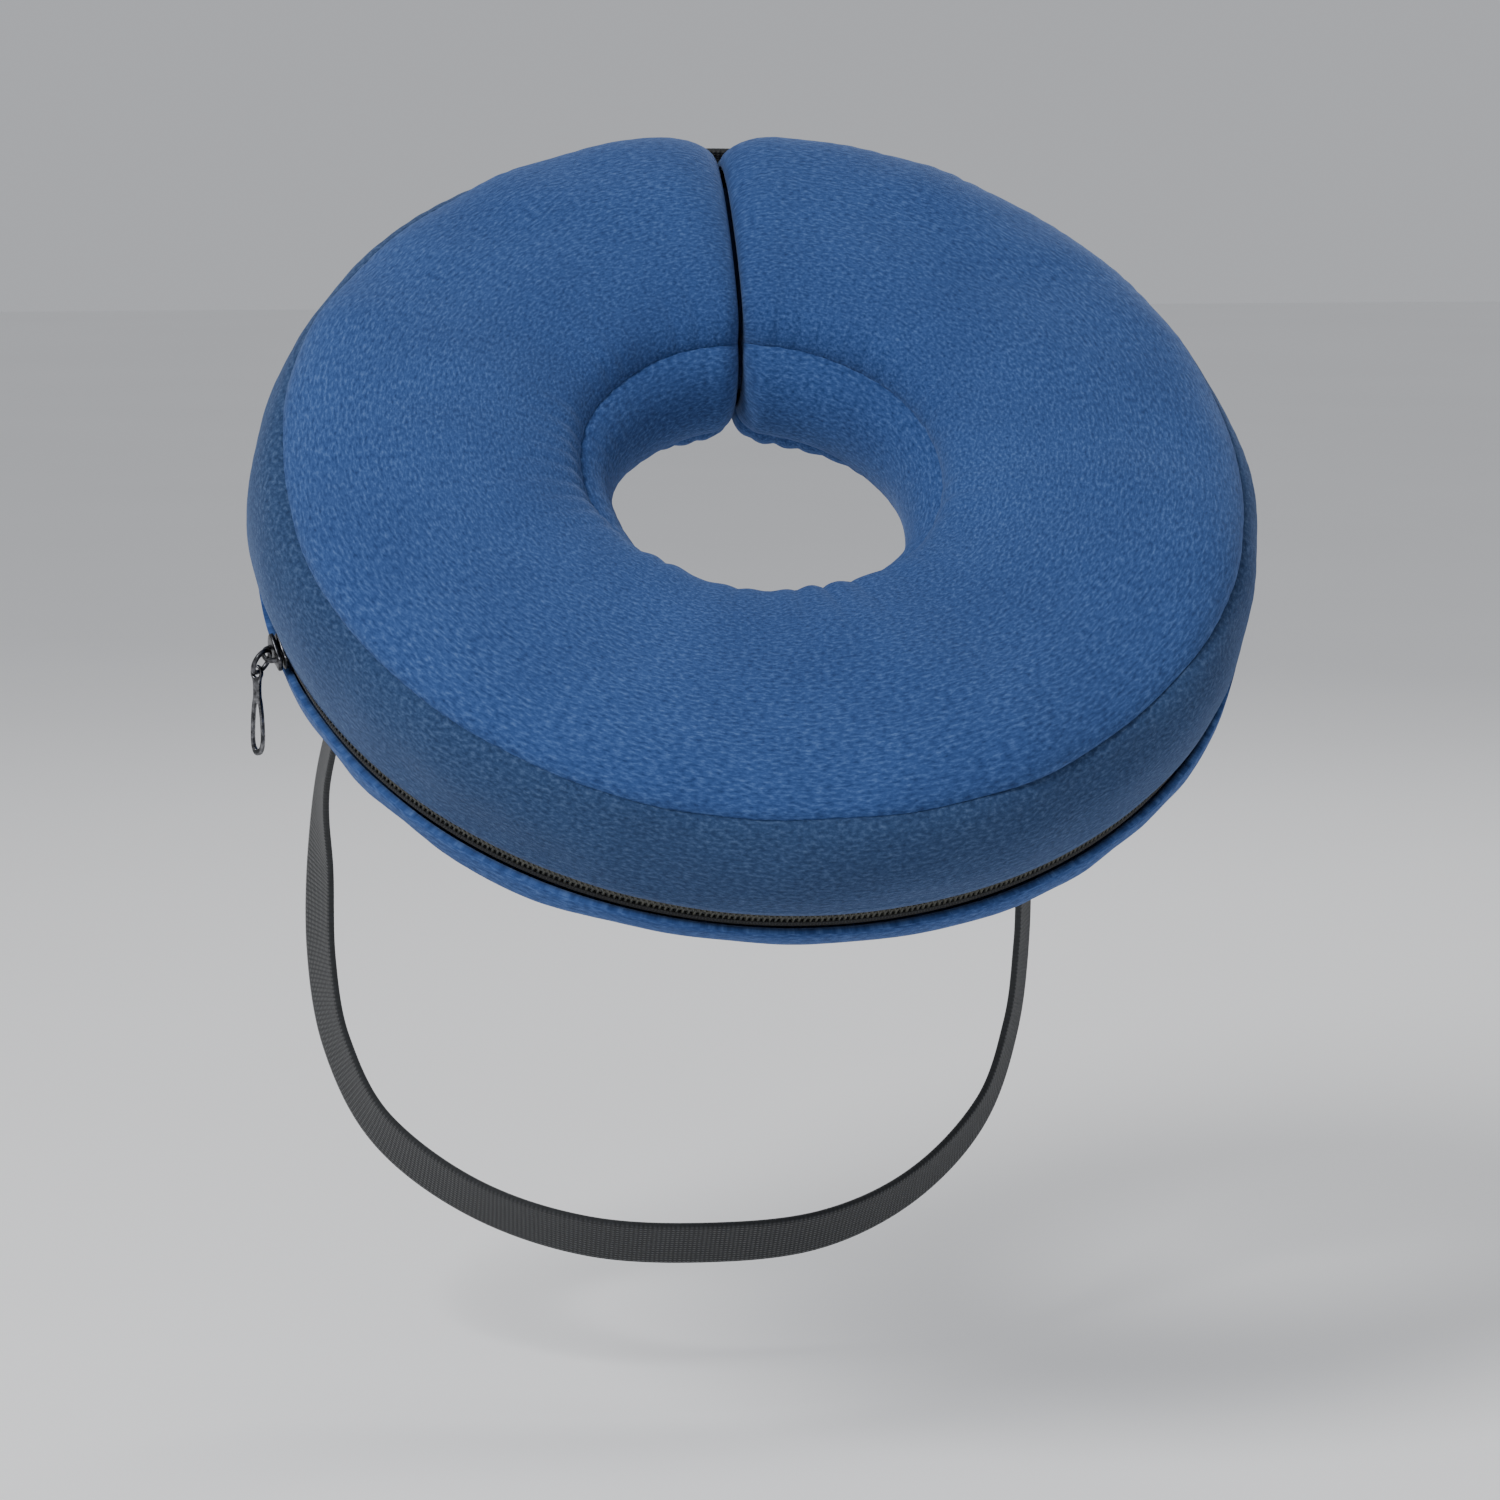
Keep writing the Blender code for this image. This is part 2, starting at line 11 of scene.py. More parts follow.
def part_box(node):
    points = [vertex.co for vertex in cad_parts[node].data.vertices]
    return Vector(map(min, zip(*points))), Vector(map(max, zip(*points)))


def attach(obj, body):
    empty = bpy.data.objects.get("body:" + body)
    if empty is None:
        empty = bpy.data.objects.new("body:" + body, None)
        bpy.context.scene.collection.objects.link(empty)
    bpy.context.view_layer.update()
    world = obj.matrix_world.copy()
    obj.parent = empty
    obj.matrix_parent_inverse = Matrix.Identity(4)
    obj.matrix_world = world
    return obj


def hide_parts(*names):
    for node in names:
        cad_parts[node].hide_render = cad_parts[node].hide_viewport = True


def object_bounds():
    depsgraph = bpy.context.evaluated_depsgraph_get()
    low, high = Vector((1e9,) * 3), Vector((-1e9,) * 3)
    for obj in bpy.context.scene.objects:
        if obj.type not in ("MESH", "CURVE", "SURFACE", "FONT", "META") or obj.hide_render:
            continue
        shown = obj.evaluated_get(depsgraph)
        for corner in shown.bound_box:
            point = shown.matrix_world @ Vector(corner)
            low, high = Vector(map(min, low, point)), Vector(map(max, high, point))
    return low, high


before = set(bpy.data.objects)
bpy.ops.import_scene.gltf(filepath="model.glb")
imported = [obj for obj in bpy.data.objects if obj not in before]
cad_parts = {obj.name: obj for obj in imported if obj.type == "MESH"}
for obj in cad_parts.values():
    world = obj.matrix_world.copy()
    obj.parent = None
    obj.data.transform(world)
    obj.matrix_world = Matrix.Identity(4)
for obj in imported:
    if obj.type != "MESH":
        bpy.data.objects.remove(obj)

CAD_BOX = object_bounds()

# Ring sizes, in metres, as in the frame
OUTER_RADIUS = 0.1222
SEAM_RADIUS = 0.1160
HOLE_RADIUS = 0.0380
HALF_DEPTH = 0.0280
FACE_TILT = math.radians(50.0)
SLIT = 0.0012
END_ROUNDING = 0.0065
ROUNDED_ANGLE = 8.5
SLIT_BLEND = 60.0
SEAM_DIP = 0.0026
TURN_IN = 0.0022
CLOTH = 0.0016
GAP = 0.0003

# Zip, slider and pull
ZIP_WIDTH = 0.0064
ZIP_CENTRE = -0.0110
TAPE_INSET = 0.0012
TAPE_THICK = 0.0010
COIL_WIDTH = 0.0030
COIL_HEIGHT = 0.0020
ZIP_START = 97.5
ZIP_RAMP = 9.4
SLIDER_ANGLE = 254.0
SLIDER_LENGTH = 0.0090
SLIDER_WIDTH = 0.0072
SLIDER_THICK = 0.0026
BRIDGE_HEIGHT = 0.0030
BRIDGE_LENGTH = 0.0052
BAIL_RADIUS = 0.0030
BAIL_WIRE = 0.0006
PULL_LENGTH = 0.0220
PULL_WIDTH = 0.0036
PULL_THICK = 0.0013
PULL_EYE = 0.085

# Strap and closure
STRAP_WIDTH = 0.0160
STRAP_THICK = 0.0018
STRAP_REACH = 0.0960
STRAP_DROP = 0.2000
STRAP_SETBACK = 0.1100
STRAP_LEAN = -0.0070
STRAP_RADIUS = 0.0960
STRAP_END_ANGLE = 60.0
STRAP_SEWN = 0.0220
TAB_WIDTH = 0.0160
TAB_ANGLE = 20.0
TAB_THICK = 0.0018

# How finely the cloth is meshed, and how deep its puckers are
RING_STEPS = 420
PATH_STEP = 0.0021
SEAM_PUCKER = 0.00050
SEAM_PUCKER_REACH = 0.0065
NECK_GATHER = 0.00095
NECK_GATHER_REACH = 0.0150
BROAD_DENT = 0.00090

RING_TURN = Matrix.Rotation(math.pi / 2.0 - FACE_TILT, 4, "X")
TURN = np.array(RING_TURN.to_3x3())
RING_FRONT = Vector(TURN[:, 2])
RING_UP = Vector(TURN[:, 1])
SECTION_WIDTH = OUTER_RADIUS - HOLE_RADIUS
NECK_SEAM = 0.48 * HALF_DEPTH
FRONT_SEAM = 0.62 * HALF_DEPTH
NECK_LIP = HOLE_RADIUS + SEAM_DIP + 0.06 * SECTION_WIDTH

# Crowns of the panels: share of the section's width from the hole, share of the half depth
FRONT_CROWN = (
    (0.895, 0.795),
    (0.830, 0.905),
    (0.710, 0.985),
    (0.545, 1.000),
    (0.375, 0.955),
    (0.235, 0.860),
    (0.125, 0.720),
)
BACK_CROWN = (
    (0.110, -0.700),
    (0.220, -0.850),
    (0.370, -0.950),
    (0.545, -1.000),
    (0.720, -0.985),
    (0.850, -0.925),
    (0.935, -0.830),
    (0.980, -0.690),
)
NECK_CROWN = ((0.022, 0.300), (0.000, 0.000), (0.022, -0.300))
SIDE_CROWN = ((0.972, 0.480), (0.996, 0.270), (1.000, 0.000))

# Security strap, one half: shares of reach, setback and drop, then the outer face (out, front, down)
STRAP_ROUTE = (
    (0.890, 0.432, -0.003, 0.00, -0.64, 0.77),
    (0.922, 0.445, -0.095, 0.30, -0.60, 0.60),
    (0.963, 0.590, -0.230, 0.75, -0.45, 0.25),
    (0.995, 0.820, -0.370, 0.93, -0.05, 0.05),
    (1.000, 0.965, -0.500, 0.93, 0.30, 0.00),
    (1.000, 1.000, -0.640, 0.93, 0.37, 0.00),
    (0.962, 0.973, -0.760, 0.93, 0.37, 0.05),
    (0.850, 0.882, -0.868, 0.85, 0.42, 0.25),
    (0.620, 0.745, -0.948, 0.55, 0.60, 0.50),
    (0.330, 0.630, -0.990, 0.25, 0.74, 0.60),
    (0.000, 0.600, -1.000, 0.00, 0.78, 0.62),
)


# Node materials

def new_material(name, roughness, metallic=0.0, specular=0.5):
    made = bpy.data.materials.new(name)
    made.use_nodes = True
    shader = made.node_tree.nodes["Principled BSDF"]
    shader.inputs["Roughness"].default_value = roughness
    shader.inputs["Metallic"].default_value = metallic
    shader.inputs["Specular IOR Level"].default_value = specular
    return made, made.node_tree, shader


def add_node(tree, kind, inputs=None, **settings):
    made = tree.nodes.new(kind)
    for key, value in settings.items():
        setattr(made, key, value)
    for key, value in (inputs or {}).items():
        made.inputs[key].default_value = value
    return made


def pattern_space(tree, output, scale):
    """The given texture coordinate, scaled along each of its axes."""
    source = add_node(tree, "ShaderNodeTexCoord")
    mapping = add_node(tree, "ShaderNodeMapping", {"Scale": scale})
    tree.links.new(source.outputs[output], mapping.inputs["Vector"])
    return mapping.outputs["Vector"]


def noise(tree, space, scale, detail=2.0, roughness=0.5):
    made = add_node(
        tree, "ShaderNodeTexNoise", {"Scale": scale, "Detail": detail, "Roughness": roughness}
    )
    tree.links.new(space, made.inputs["Vector"])
    return made.outputs["Fac"]


def ramp(tree, factor, stops):
    made = add_node(tree, "ShaderNodeValToRGB")
    band = made.color_ramp
    while len(band.elements) < len(stops):
        band.elements.new(0.5)
    for element, (place, colour) in zip(band.elements, stops):
        element.position = place
        element.color = (*colour, 1.0)
    tree.links.new(factor, made.inputs["Fac"])
    return made.outputs["Color"]


def mix_colour(tree, factor, first, second, blend="MIX"):
    made = add_node(tree, "ShaderNodeMix", data_type="RGBA", blend_type=blend)
    for socket, value in ((made.inputs[0], factor), (made.inputs[6], first), (made.inputs[7], second)):
        if isinstance(value, bpy.types.NodeSocket):
            tree.links.new(value, socket)
        elif isinstance(value, tuple):
            socket.default_value = (*value, 1.0)
        else:
            socket.default_value = value
    return made.outputs[2]


def math_node(tree, operation, first, second):
    made = add_node(tree, "ShaderNodeMath", operation=operation)
    for socket, value in zip(made.inputs, (first, second)):
        if isinstance(value, bpy.types.NodeSocket):
            tree.links.new(value, socket)
        else:
            socket.default_value = value
    return made.outputs[0]


def bump(tree, shader, height, distance, strength=1.0):
    made = add_node(tree, "ShaderNodeBump", {"Strength": strength, "Distance": distance})
    tree.links.new(height, made.inputs["Height"])
    tree.links.new(made.outputs["Normal"], shader.inputs["Normal"])


def brushed_cloth(name, dark, middle, light):
    """Short-nap melange cloth: flecks of three blues along the weave, partly melange and partly painted nap
    shade with the raised nap lighter, cloudy nap, fine fibre bump.
    """
    made, tree, shader = new_material(name, 0.95, specular=0.15)
    shader.inputs["Sheen Weight"].default_value = 0.22
    shader.inputs["Sheen Roughness"].default_value = 0.45
    shader.inputs["Sheen Tint"].default_value = (0.42, 0.56, 0.90, 1.0)
    weave = pattern_space(tree, "UV", (1.0, 2.3, 1.0))
    solid = pattern_space(tree, "Object", (1.0, 1.0, 1.0))
    flecks_and_nap_shade = noise(tree, weave, 620.0, 3.0, 0.65)
    # three blues from shaded to raised nap: melange flecks plus painted nap shade
    base = ramp(tree, flecks_and_nap_shade, ((0.30, dark), (0.50, middle), (0.72, light)))
    clouds = noise(tree, solid, 26.0, 4.0, 0.6)
    shade = ramp(tree, clouds, ((0.30, (0.84, 0.85, 0.87)), (0.70, (1.10, 1.09, 1.07))))
    colour = mix_colour(tree, 1.0, base, shade, "MULTIPLY")
    tree.links.new(colour, shader.inputs["Base Color"])
    fibres = noise(tree, solid, 2600.0, 2.0, 0.6)
    nap = math_node(tree, "MULTIPLY", flecks_and_nap_shade, 0.8)
    height = math_node(tree, "ADD", nap, math_node(tree, "MULTIPLY", fibres, 0.5))
    bump(tree, shader, height, 0.00035, 0.8)
    return made


def woven_web(name, dark, light, rib, distance):
    """Woven black webbing: ribs across the UV's length, crossed by finer threads."""
    made, tree, shader = new_material(name, 0.72, specular=0.35)
    shader.inputs["Sheen Weight"].default_value = 0.12
    space = pattern_space(tree, "UV", (1.0, 1.0, 1.0))
    ribs = add_node(
        tree,
        "ShaderNodeTexWave",
        {"Scale": rib, "Distortion": 0.6, "Detail": 1.0, "Detail Scale": 2.0},
        wave_type="BANDS",
        bands_direction="X",
    )
    threads = add_node(
        tree,
        "ShaderNodeTexWave",
        {"Scale": rib * 1.35, "Distortion": 0.4},
        wave_type="BANDS",
        bands_direction="Y",
    )
    for wave in (ribs, threads):
        tree.links.new(space, wave.inputs["Vector"])
    weave = math_node(tree, "MULTIPLY", ribs.outputs["Fac"], threads.outputs["Fac"])
    fuzz = noise(tree, space, 900.0, 3.0)
    weave_part = math_node(tree, "MULTIPLY", weave, 0.7)
    fuzz_part = math_node(tree, "MULTIPLY", fuzz, 0.4)
    mixed = math_node(tree, "ADD", weave_part, fuzz_part)
    tree.links.new(ramp(tree, mixed, ((0.15, dark), (0.95, light))), shader.inputs["Base Color"])
    bump(tree, shader, mixed, distance)
    return made


def worn_metal(name, colour, edge, roughness):
    """Plated zinc: fine cast grain and a slight change of tone where it is handled."""
    made, tree, shader = new_material(name, roughness, metallic=1.0)
    solid = pattern_space(tree, "Object", (1.0, 1.0, 1.0))
    wear = noise(tree, solid, 700.0, 3.0)
    tree.links.new(ramp(tree, wear, ((0.42, colour), (0.66, edge))), shader.inputs["Base Color"])
    rough = ramp(tree, noise(tree, solid, 1500.0), ((0.3, (roughness,) * 3), (0.8, (roughness + 0.16,) * 3)))
    tree.links.new(rough, shader.inputs["Roughness"])
    bump(tree, shader, wear, 0.00004)
    return made


def coil_plastic(name):
    made, tree, shader = new_material(name, 0.38, specular=0.5)
    solid = pattern_space(tree, "Object", (1.0, 1.0, 1.0))
    tone = noise(tree, solid, 420.0, 2.0)
    stops = ((0.35, (0.022, 0.023, 0.017)), (0.70, (0.048, 0.047, 0.034)))
    tree.links.new(ramp(tree, tone, stops), shader.inputs["Base Color"])
    bump(tree, shader, tone, 0.00005)
    return made


def thread(name, dark, light):
    made, tree, shader = new_material(name, 0.6, specular=0.3)
    solid = pattern_space(tree, "Object", (1.0, 1.0, 1.0))
    twist = noise(tree, solid, 3200.0, 2.0)
    tree.links.new(ramp(tree, twist, ((0.35, dark), (0.65, light))), shader.inputs["Base Color"])
    bump(tree, shader, twist, 0.00008)
    return made


def clear_vinyl(name):
    made, tree, shader = new_material(name, 0.32, specular=0.5)
    solid = pattern_space(tree, "Object", (1.0, 1.0, 1.0))
    haze = noise(tree, solid, 60.0, 3.0)
    stops = ((0.3, (0.60, 0.65, 0.70)), (0.7, (0.74, 0.78, 0.82)))
    tree.links.new(ramp(tree, haze, stops), shader.inputs["Base Color"])
    bump(tree, shader, haze, 0.0004)
    return made


# Swept cloth

def smooth_path(points, step):
    """A centripetal-like smooth curve through the points, sampled about every step metres."""
    knots = np.asarray(points, float)
    padded = np.vstack([2.0 * knots[0] - knots[1], knots, 2.0 * knots[-1] - knots[-2]])
    made = []
    for span in range(len(knots) - 1):
        before, start, end, after = padded[span:span + 4]
        length = np.linalg.norm(end[:2] - start[:2]) if knots.shape[1] == 2 else np.linalg.norm(end - start)
        count = max(2, int(round(length / step)))
        part = np.linspace(0.0, 1.0, count, endpoint=False)[:, None]
        made.append(
            start
            + (end - before) * 0.5 * part
            + (before - 2.5 * start + 2.0 * end - 0.5 * after) * part**2
            + (1.5 * start - 0.5 * before - 1.5 * end + 0.5 * after) * part**3
        )
    made.append(knots[-1:])
    return np.vstack(made)


def path_normals(path, side):
    """Unit normals of a section path, pointing out of the ring's body."""
    run = np.gradient(path, axis=0)
    run /= np.linalg.norm(run, axis=1)[:, None]
    return side * np.stack([run[:, 1], -run[:, 0]], axis=1)


def share(row):
    return (HOLE_RADIUS + row[0] * SECTION_WIDTH, row[1] * HALF_DEPTH)


def from_slit(angle):
    return np.minimum(angle, 360.0 - angle)


def ring_angles(first=0.0, last=360.0):
    """Angles round the ring, closer together where the ends of the slit are rounded."""
    count = max(8, int(RING_STEPS * (last - first) / 360.0))
    even = np.linspace(first, last, count)
    fine = np.array([0.0, 0.25, 0.6, 1.1, 1.8, 2.7, 3.7, 4.8, 6.0, 7.2, 8.5])
    ends = np.concatenate([fine, 360.0 - fine])
    kept = ends[(ends > first + 1e-6) & (ends < last - 1e-6)]
    at_limits = (np.abs(even - first) < 1e-6) | (np.abs(even - last) < 1e-6)
    clear = even[(from_slit(even) > ROUNDED_ANGLE) | at_limits]
    return np.unique(np.round(np.concatenate([clear, kept]), 5))


def zip_open(angle):
    return np.clip((from_slit(angle) - ZIP_START) / ZIP_RAMP + 1.0, 0.0, 1.0)


def waves(seed, lengths, count):
    """Random directions, wavelengths and phases for a sum of plane waves."""
    draw = np.random.default_rng(seed)
    turn = draw.normal(size=(count, 3))
    turn /= np.linalg.norm(turn, axis=1)[:, None]
    size = draw.uniform(lengths[0], lengths[1], count)
    return turn * (2.0 * np.pi / size)[:, None], draw.uniform(0.0, 2.0 * np.pi, count)


def wave_field(points, seed, lengths, count=14):
    """A smooth field between about -1 and 1 through space."""
    turn, phase = waves(seed, lengths, count)
    flat = points.reshape(-1, 3)
    total = np.sin(flat @ turn.T + phase).sum(axis=1) / math.sqrt(count)
    return total.reshape(points.shape[:-1])


def gathers(arc, seed, lengths, count=9):
    """Folds along a seam: rounded ridges with sharp valleys, by the arc length along it."""
    draw = np.random.default_rng(seed)
    size = draw.uniform(lengths[0], lengths[1], count)
    phase = draw.uniform(0.0, 2.0 * np.pi, count)
    total = np.sin(arc[:, None] * (2.0 * np.pi / size) + phase).sum(axis=1) / math.sqrt(count)
    return 0.35 - np.abs(total)


def ring_points(radius, depth, angles, opening):
    turn = np.radians(angles)[:, None]
    side = np.where(angles < 180.0, 1.0, -1.0)[:, None]
    shift = side * opening * np.maximum(0.0, 1.0 - from_slit(angles)[:, None] / SLIT_BLEND)
    local = np.stack([radius * np.sin(turn) + shift, radius * np.cos(turn), depth], axis=2)
    return local @ TURN.T


def draw_in(radius, depth, angles):
    """The section drawn in towards its middle near the slit."""
    run = np.clip(from_slit(angles) / ROUNDED_ANGLE, 0.0, 1.0)
    inset = (END_ROUNDING * (1.0 - np.sqrt(1.0 - (1.0 - run) ** 2)))[:, None]
    middle = HOLE_RADIUS + SECTION_WIDTH / 2.0
    return (
        middle + (radius - middle) * (1.0 - 2.0 * inset / SECTION_WIDTH),
        depth * (1.0 - inset / HALF_DEPTH),
    )


def skin_mesh(name, outer, inner, along, across):
    """A closed cloth wall between two equal grids of points, with a UV map in metres."""
    rows, columns = outer.shape[:2]
    points = np.concatenate([outer.reshape(-1, 3), inner.reshape(-1, 3)])
    index = np.arange(rows * columns).reshape(rows, columns)
    back = index + rows * columns

    def quads(grid):
        return np.stack([grid[:-1, :-1], grid[:-1, 1:], grid[1:, 1:], grid[1:, :-1]], axis=-1).reshape(-1, 4)

    faces = [quads(index), quads(back)[:, ::-1]]
    for edge, other in ((index[:, 0], back[:, 0]), (index[0, :], back[0, :])):
        faces.append(np.stack([edge[:-1], edge[1:], other[1:], other[:-1]], axis=-1))
    for edge, other in ((index[:, -1], back[:, -1]), (index[-1, :], back[-1, :])):
        faces.append(np.stack([edge[:-1], other[:-1], other[1:], edge[1:]], axis=-1))
    mesh = bpy.data.meshes.new(name)
    mesh.from_pydata(points.tolist(), [], np.concatenate(faces).tolist())
    uv = np.stack(np.broadcast_arrays(along[:, None], across[None, :]), axis=-1).reshape(-1, 2)
    uv = np.concatenate([uv, uv])
    corner = np.empty(len(mesh.loops), dtype=np.int32)
    mesh.loops.foreach_get("vertex_index", corner)
    layer = mesh.uv_layers.new(name="weave")
    layer.data.foreach_set("uv", uv[corner].ravel())
    outward(mesh)
    mesh.shade_smooth()
    return mesh


def outward(mesh):
    work = bmesh.new()
    work.from_mesh(mesh)
    bmesh.ops.recalc_face_normals(work, faces=work.faces)
    work.to_mesh(mesh)
    work.free()


def dress(name, mesh, material, replaced=()):
    """Links a finished mesh as a piece that rides on the one body."""
    made = bpy.data.objects.new(name, mesh)
    bpy.context.scene.collection.objects.link(made)
    if not mesh.materials:
        mesh.materials.append(material)
    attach(made, "root")
    if replaced:
        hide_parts(*replaced)
    return made


def panel(name, path_of, side, material, seed, seams, replaced):
    """One cloth panel of the cover, swept round the ring with its dents, puckers and gathers.

    path_of(opening) gives the section path where the zip is open by that share. seams lists rows of
    (end of the path, depth of the folds, how far they reach, shortest and longest fold).
    """
    angles = ring_angles()
    opened = smooth_path(path_of(1.0), PATH_STEP)
    shut = smooth_path(path_of(0.0), PATH_STEP)
    count = max(len(opened), len(shut))
    opened = resample(opened, count)
    shut = resample(shut, count)
    share_open = zip_open(angles)[:, None, None]
    path = shut[None] * (1.0 - share_open) + opened[None] * share_open
    normal = path_normals(opened, side)[None]
    run = np.concatenate([[0.0], np.cumsum(np.linalg.norm(np.diff(opened, axis=0), axis=1))])
    middle_radius = float(opened[:, 0].mean())
    still = ring_points(path[..., 0], path[..., 1], angles, SLIT / 2.0)
    move = BROAD_DENT * wave_field(still, seed, (0.050, 0.110))
    move += 0.35 * BROAD_DENT * wave_field(still, seed + 1, (0.018, 0.034))
    hold = np.ones(count)
    for number, (end, depth, reach, shortest, longest) in enumerate(seams):
        away = run if end == 0 else run[-1] - run
        arc = np.radians(angles) * float(opened[0 if end == 0 else -1, 0])
        fold = gathers(arc, seed + 10 + number, (shortest, longest))[:, None]
        rise = np.clip((away - 0.0012) / 0.0030, 0.0, 1.0)
        move += depth * fold * (rise * np.exp(-away / reach))[None]
        hold = np.minimum(hold, np.clip((away - 0.0010) / 0.0060, 0.0, 1.0))
    quiet = np.clip(from_slit(angles) / (0.7 * ROUNDED_ANGLE), 0.0, 1.0)[:, None]
    move = move * (0.15 + 0.85 * hold)[None] * quiet
    top = path + normal * move[..., None]
    low = top - normal * CLOTH
    skins = []
    for skin in (top, low):
        radius, depth = draw_in(skin[..., 0], skin[..., 1], angles)
        skins.append(ring_points(radius, depth, angles, SLIT / 2.0))
    mesh = skin_mesh(name, skins[0], skins[1], np.radians(angles) * middle_radius, run)
    made = dress(name, mesh, material, replaced)
    return made


def resample(path, count):
    """The path with an exact number of evenly spaced points."""
    run = np.concatenate([[0.0], np.cumsum(np.linalg.norm(np.diff(path, axis=0), axis=1))])
    even = np.linspace(0.0, run[-1], count)
    return np.stack([np.interp(even, run, path[:, axis]) for axis in range(path.shape[1])], axis=1)


def front_path(opening):
    outer = (SEAM_RADIUS, FRONT_SEAM + GAP)
    path = [(outer[0] - TURN_IN, outer[1] - 0.4 * TURN_IN), outer]
    path += [(SEAM_RADIUS - 0.15 * SEAM_DIP, FRONT_SEAM + 0.9 * SEAM_DIP)]
    path += [share(row) for row in FRONT_CROWN]
    path += [(NECK_LIP, NECK_SEAM + GAP), (NECK_LIP + TURN_IN, NECK_SEAM + GAP - 0.15 * TURN_IN)]
    return path


def side_path(opening):
    seam = (SEAM_RADIUS + GAP, FRONT_SEAM - GAP)
    edge = ZIP_CENTRE + opening * ZIP_WIDTH / 2.0 + GAP / 2.0
    path = [(seam[0] - TURN_IN, seam[1] - 0.5 * TURN_IN), seam]
    path += [(SEAM_RADIUS + 0.9 * SEAM_DIP, FRONT_SEAM - 0.55 * SEAM_DIP)]
    path += [share(row) for row in SIDE_CROWN]
    path += [(OUTER_RADIUS - 0.0009, edge)]
    return path


def back_path(opening):
    edge = ZIP_CENTRE - opening * ZIP_WIDTH / 2.0 - GAP / 2.0
    path = [(NECK_LIP + TURN_IN, -NECK_SEAM - GAP + 0.15 * TURN_IN), (NECK_LIP, -NECK_SEAM - GAP)]
    path += [share(row) for row in BACK_CROWN]
    path += [(OUTER_RADIUS - 0.0009, edge)]
    return path


def neck_path(opening):
    lip = NECK_LIP - 0.3 * TURN_IN
    path = [(NECK_LIP + TURN_IN, NECK_SEAM - 0.30 * TURN_IN), (lip, NECK_SEAM - GAP)]
    path += [share(row) for row in NECK_CROWN]
    path += [(lip, -NECK_SEAM + GAP), (NECK_LIP + TURN_IN, -NECK_SEAM + 0.30 * TURN_IN)]
    return path


def make_cover(cloth, shaded_side_cloth):
    seam = (SEAM_PUCKER, SEAM_PUCKER_REACH, 0.0085, 0.0170)
    neck = (NECK_GATHER, NECK_GATHER_REACH, 0.0090, 0.0210)
    hem = (0.6 * SEAM_PUCKER, 0.5 * SEAM_PUCKER_REACH, 0.0090, 0.0180)
    panel("front_panel", front_path, -1.0, cloth, 11, ((0, *seam), (1, *neck)), ("cover_front",))
    # the side band wears the darker cloth, painted shade
    panel("side_band", side_path, 1.0, shaded_side_cloth, 23, ((0, *seam), (1, *hem)), ("cover_side",))
    panel("back_panel", back_path, -1.0, cloth, 37, ((0, *neck), (1, *hem)), ("cover_back",))
    panel("neck_wall", neck_path, -1.0, cloth, 51, ((0, *seam), (1, *seam)), ("neck_panel",))


def make_end_panels(cloth):
    """The two flat ends of the slit ring, puffed a little between their edges."""
    for label, side in (("right", 1.0), ("left", -1.0)):
        low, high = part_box("end_panel_" + label)
        work = bmesh.new()
        work.from_mesh(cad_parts["end_panel_" + label].data)
        bmesh.ops.remove_doubles(work, verts=work.verts, dist=0.00001)
        bmesh.ops.dissolve_limit(work, angle_limit=0.02, verts=work.verts, edges=work.edges)
        flat = [face for face in work.faces if len(face.verts) > 8]
        for _ in range(3):
            bmesh.ops.inset_region(work, faces=flat, thickness=0.0028, use_even_offset=True)
            for vert in {vert for face in flat for vert in face.verts}:
                inward = 1.0 if abs(vert.co.x) > (abs(low[0]) + abs(high[0])) / 2.0 else 0.0
                vert.co.x += side * 0.00018 * inward
        mesh = bpy.data.meshes.new("slit_end_" + label)
        work.to_mesh(mesh)
        work.free()
        outward(mesh)
        mesh.materials.clear()
        mesh.uv_layers.new(name="weave")
        dress("slit_end_" + label, mesh, cloth, ("end_panel_" + label,))


def swept_strip(name, outline, angles, material, replaced, opening=SLIT / 2.0):
    """A closed strip along the ring: outline(angles) gives (rows, points, 2) of its section."""
    section = outline(angles)
    grid = ring_points(section[..., 0], section[..., 1], angles, opening)
    rows, count = grid.shape[:2]
    index = np.arange(rows * count).reshape(rows, count)
    ahead = np.roll(index, -1, axis=1)
    faces = np.stack([index[:-1], ahead[:-1], ahead[1:], index[1:]], axis=-1).reshape(-1, 4).tolist()
    faces += [index[0].tolist(), index[-1].tolist()]
    mesh = bpy.data.meshes.new(name)
    mesh.from_pydata(grid.reshape(-1, 3).tolist(), [], faces)
    span = np.linalg.norm(section[0] - np.roll(section[0], 1, axis=0), axis=1)
    across = np.cumsum(span)
    along = np.radians(angles) * OUTER_RADIUS
    uv = np.stack(np.broadcast_arrays(along[:, None], across[None, :]), axis=-1).reshape(-1, 2)
    corner = np.empty(len(mesh.loops), dtype=np.int32)
    mesh.loops.foreach_get("vertex_index", corner)
    mesh.uv_layers.new(name="weave").data.foreach_set("uv", uv[corner].ravel())
    outward(mesh)
    mesh.shade_smooth()
    mesh.set_sharp_from_angle(angle=math.radians(50.0))
    return dress(name, mesh, material, replaced)


def zip_angles():
    first = ZIP_START - 0.8 * ZIP_RAMP
    return np.linspace(first, 360.0 - first, 300)


def zip_scale(angles):
    return np.maximum(0.12, zip_open(angles))


# Spacing of the coil's teeth, and their lean in degrees
COIL_PITCH = 0.00135
TOOTH_LEAN = 14.0


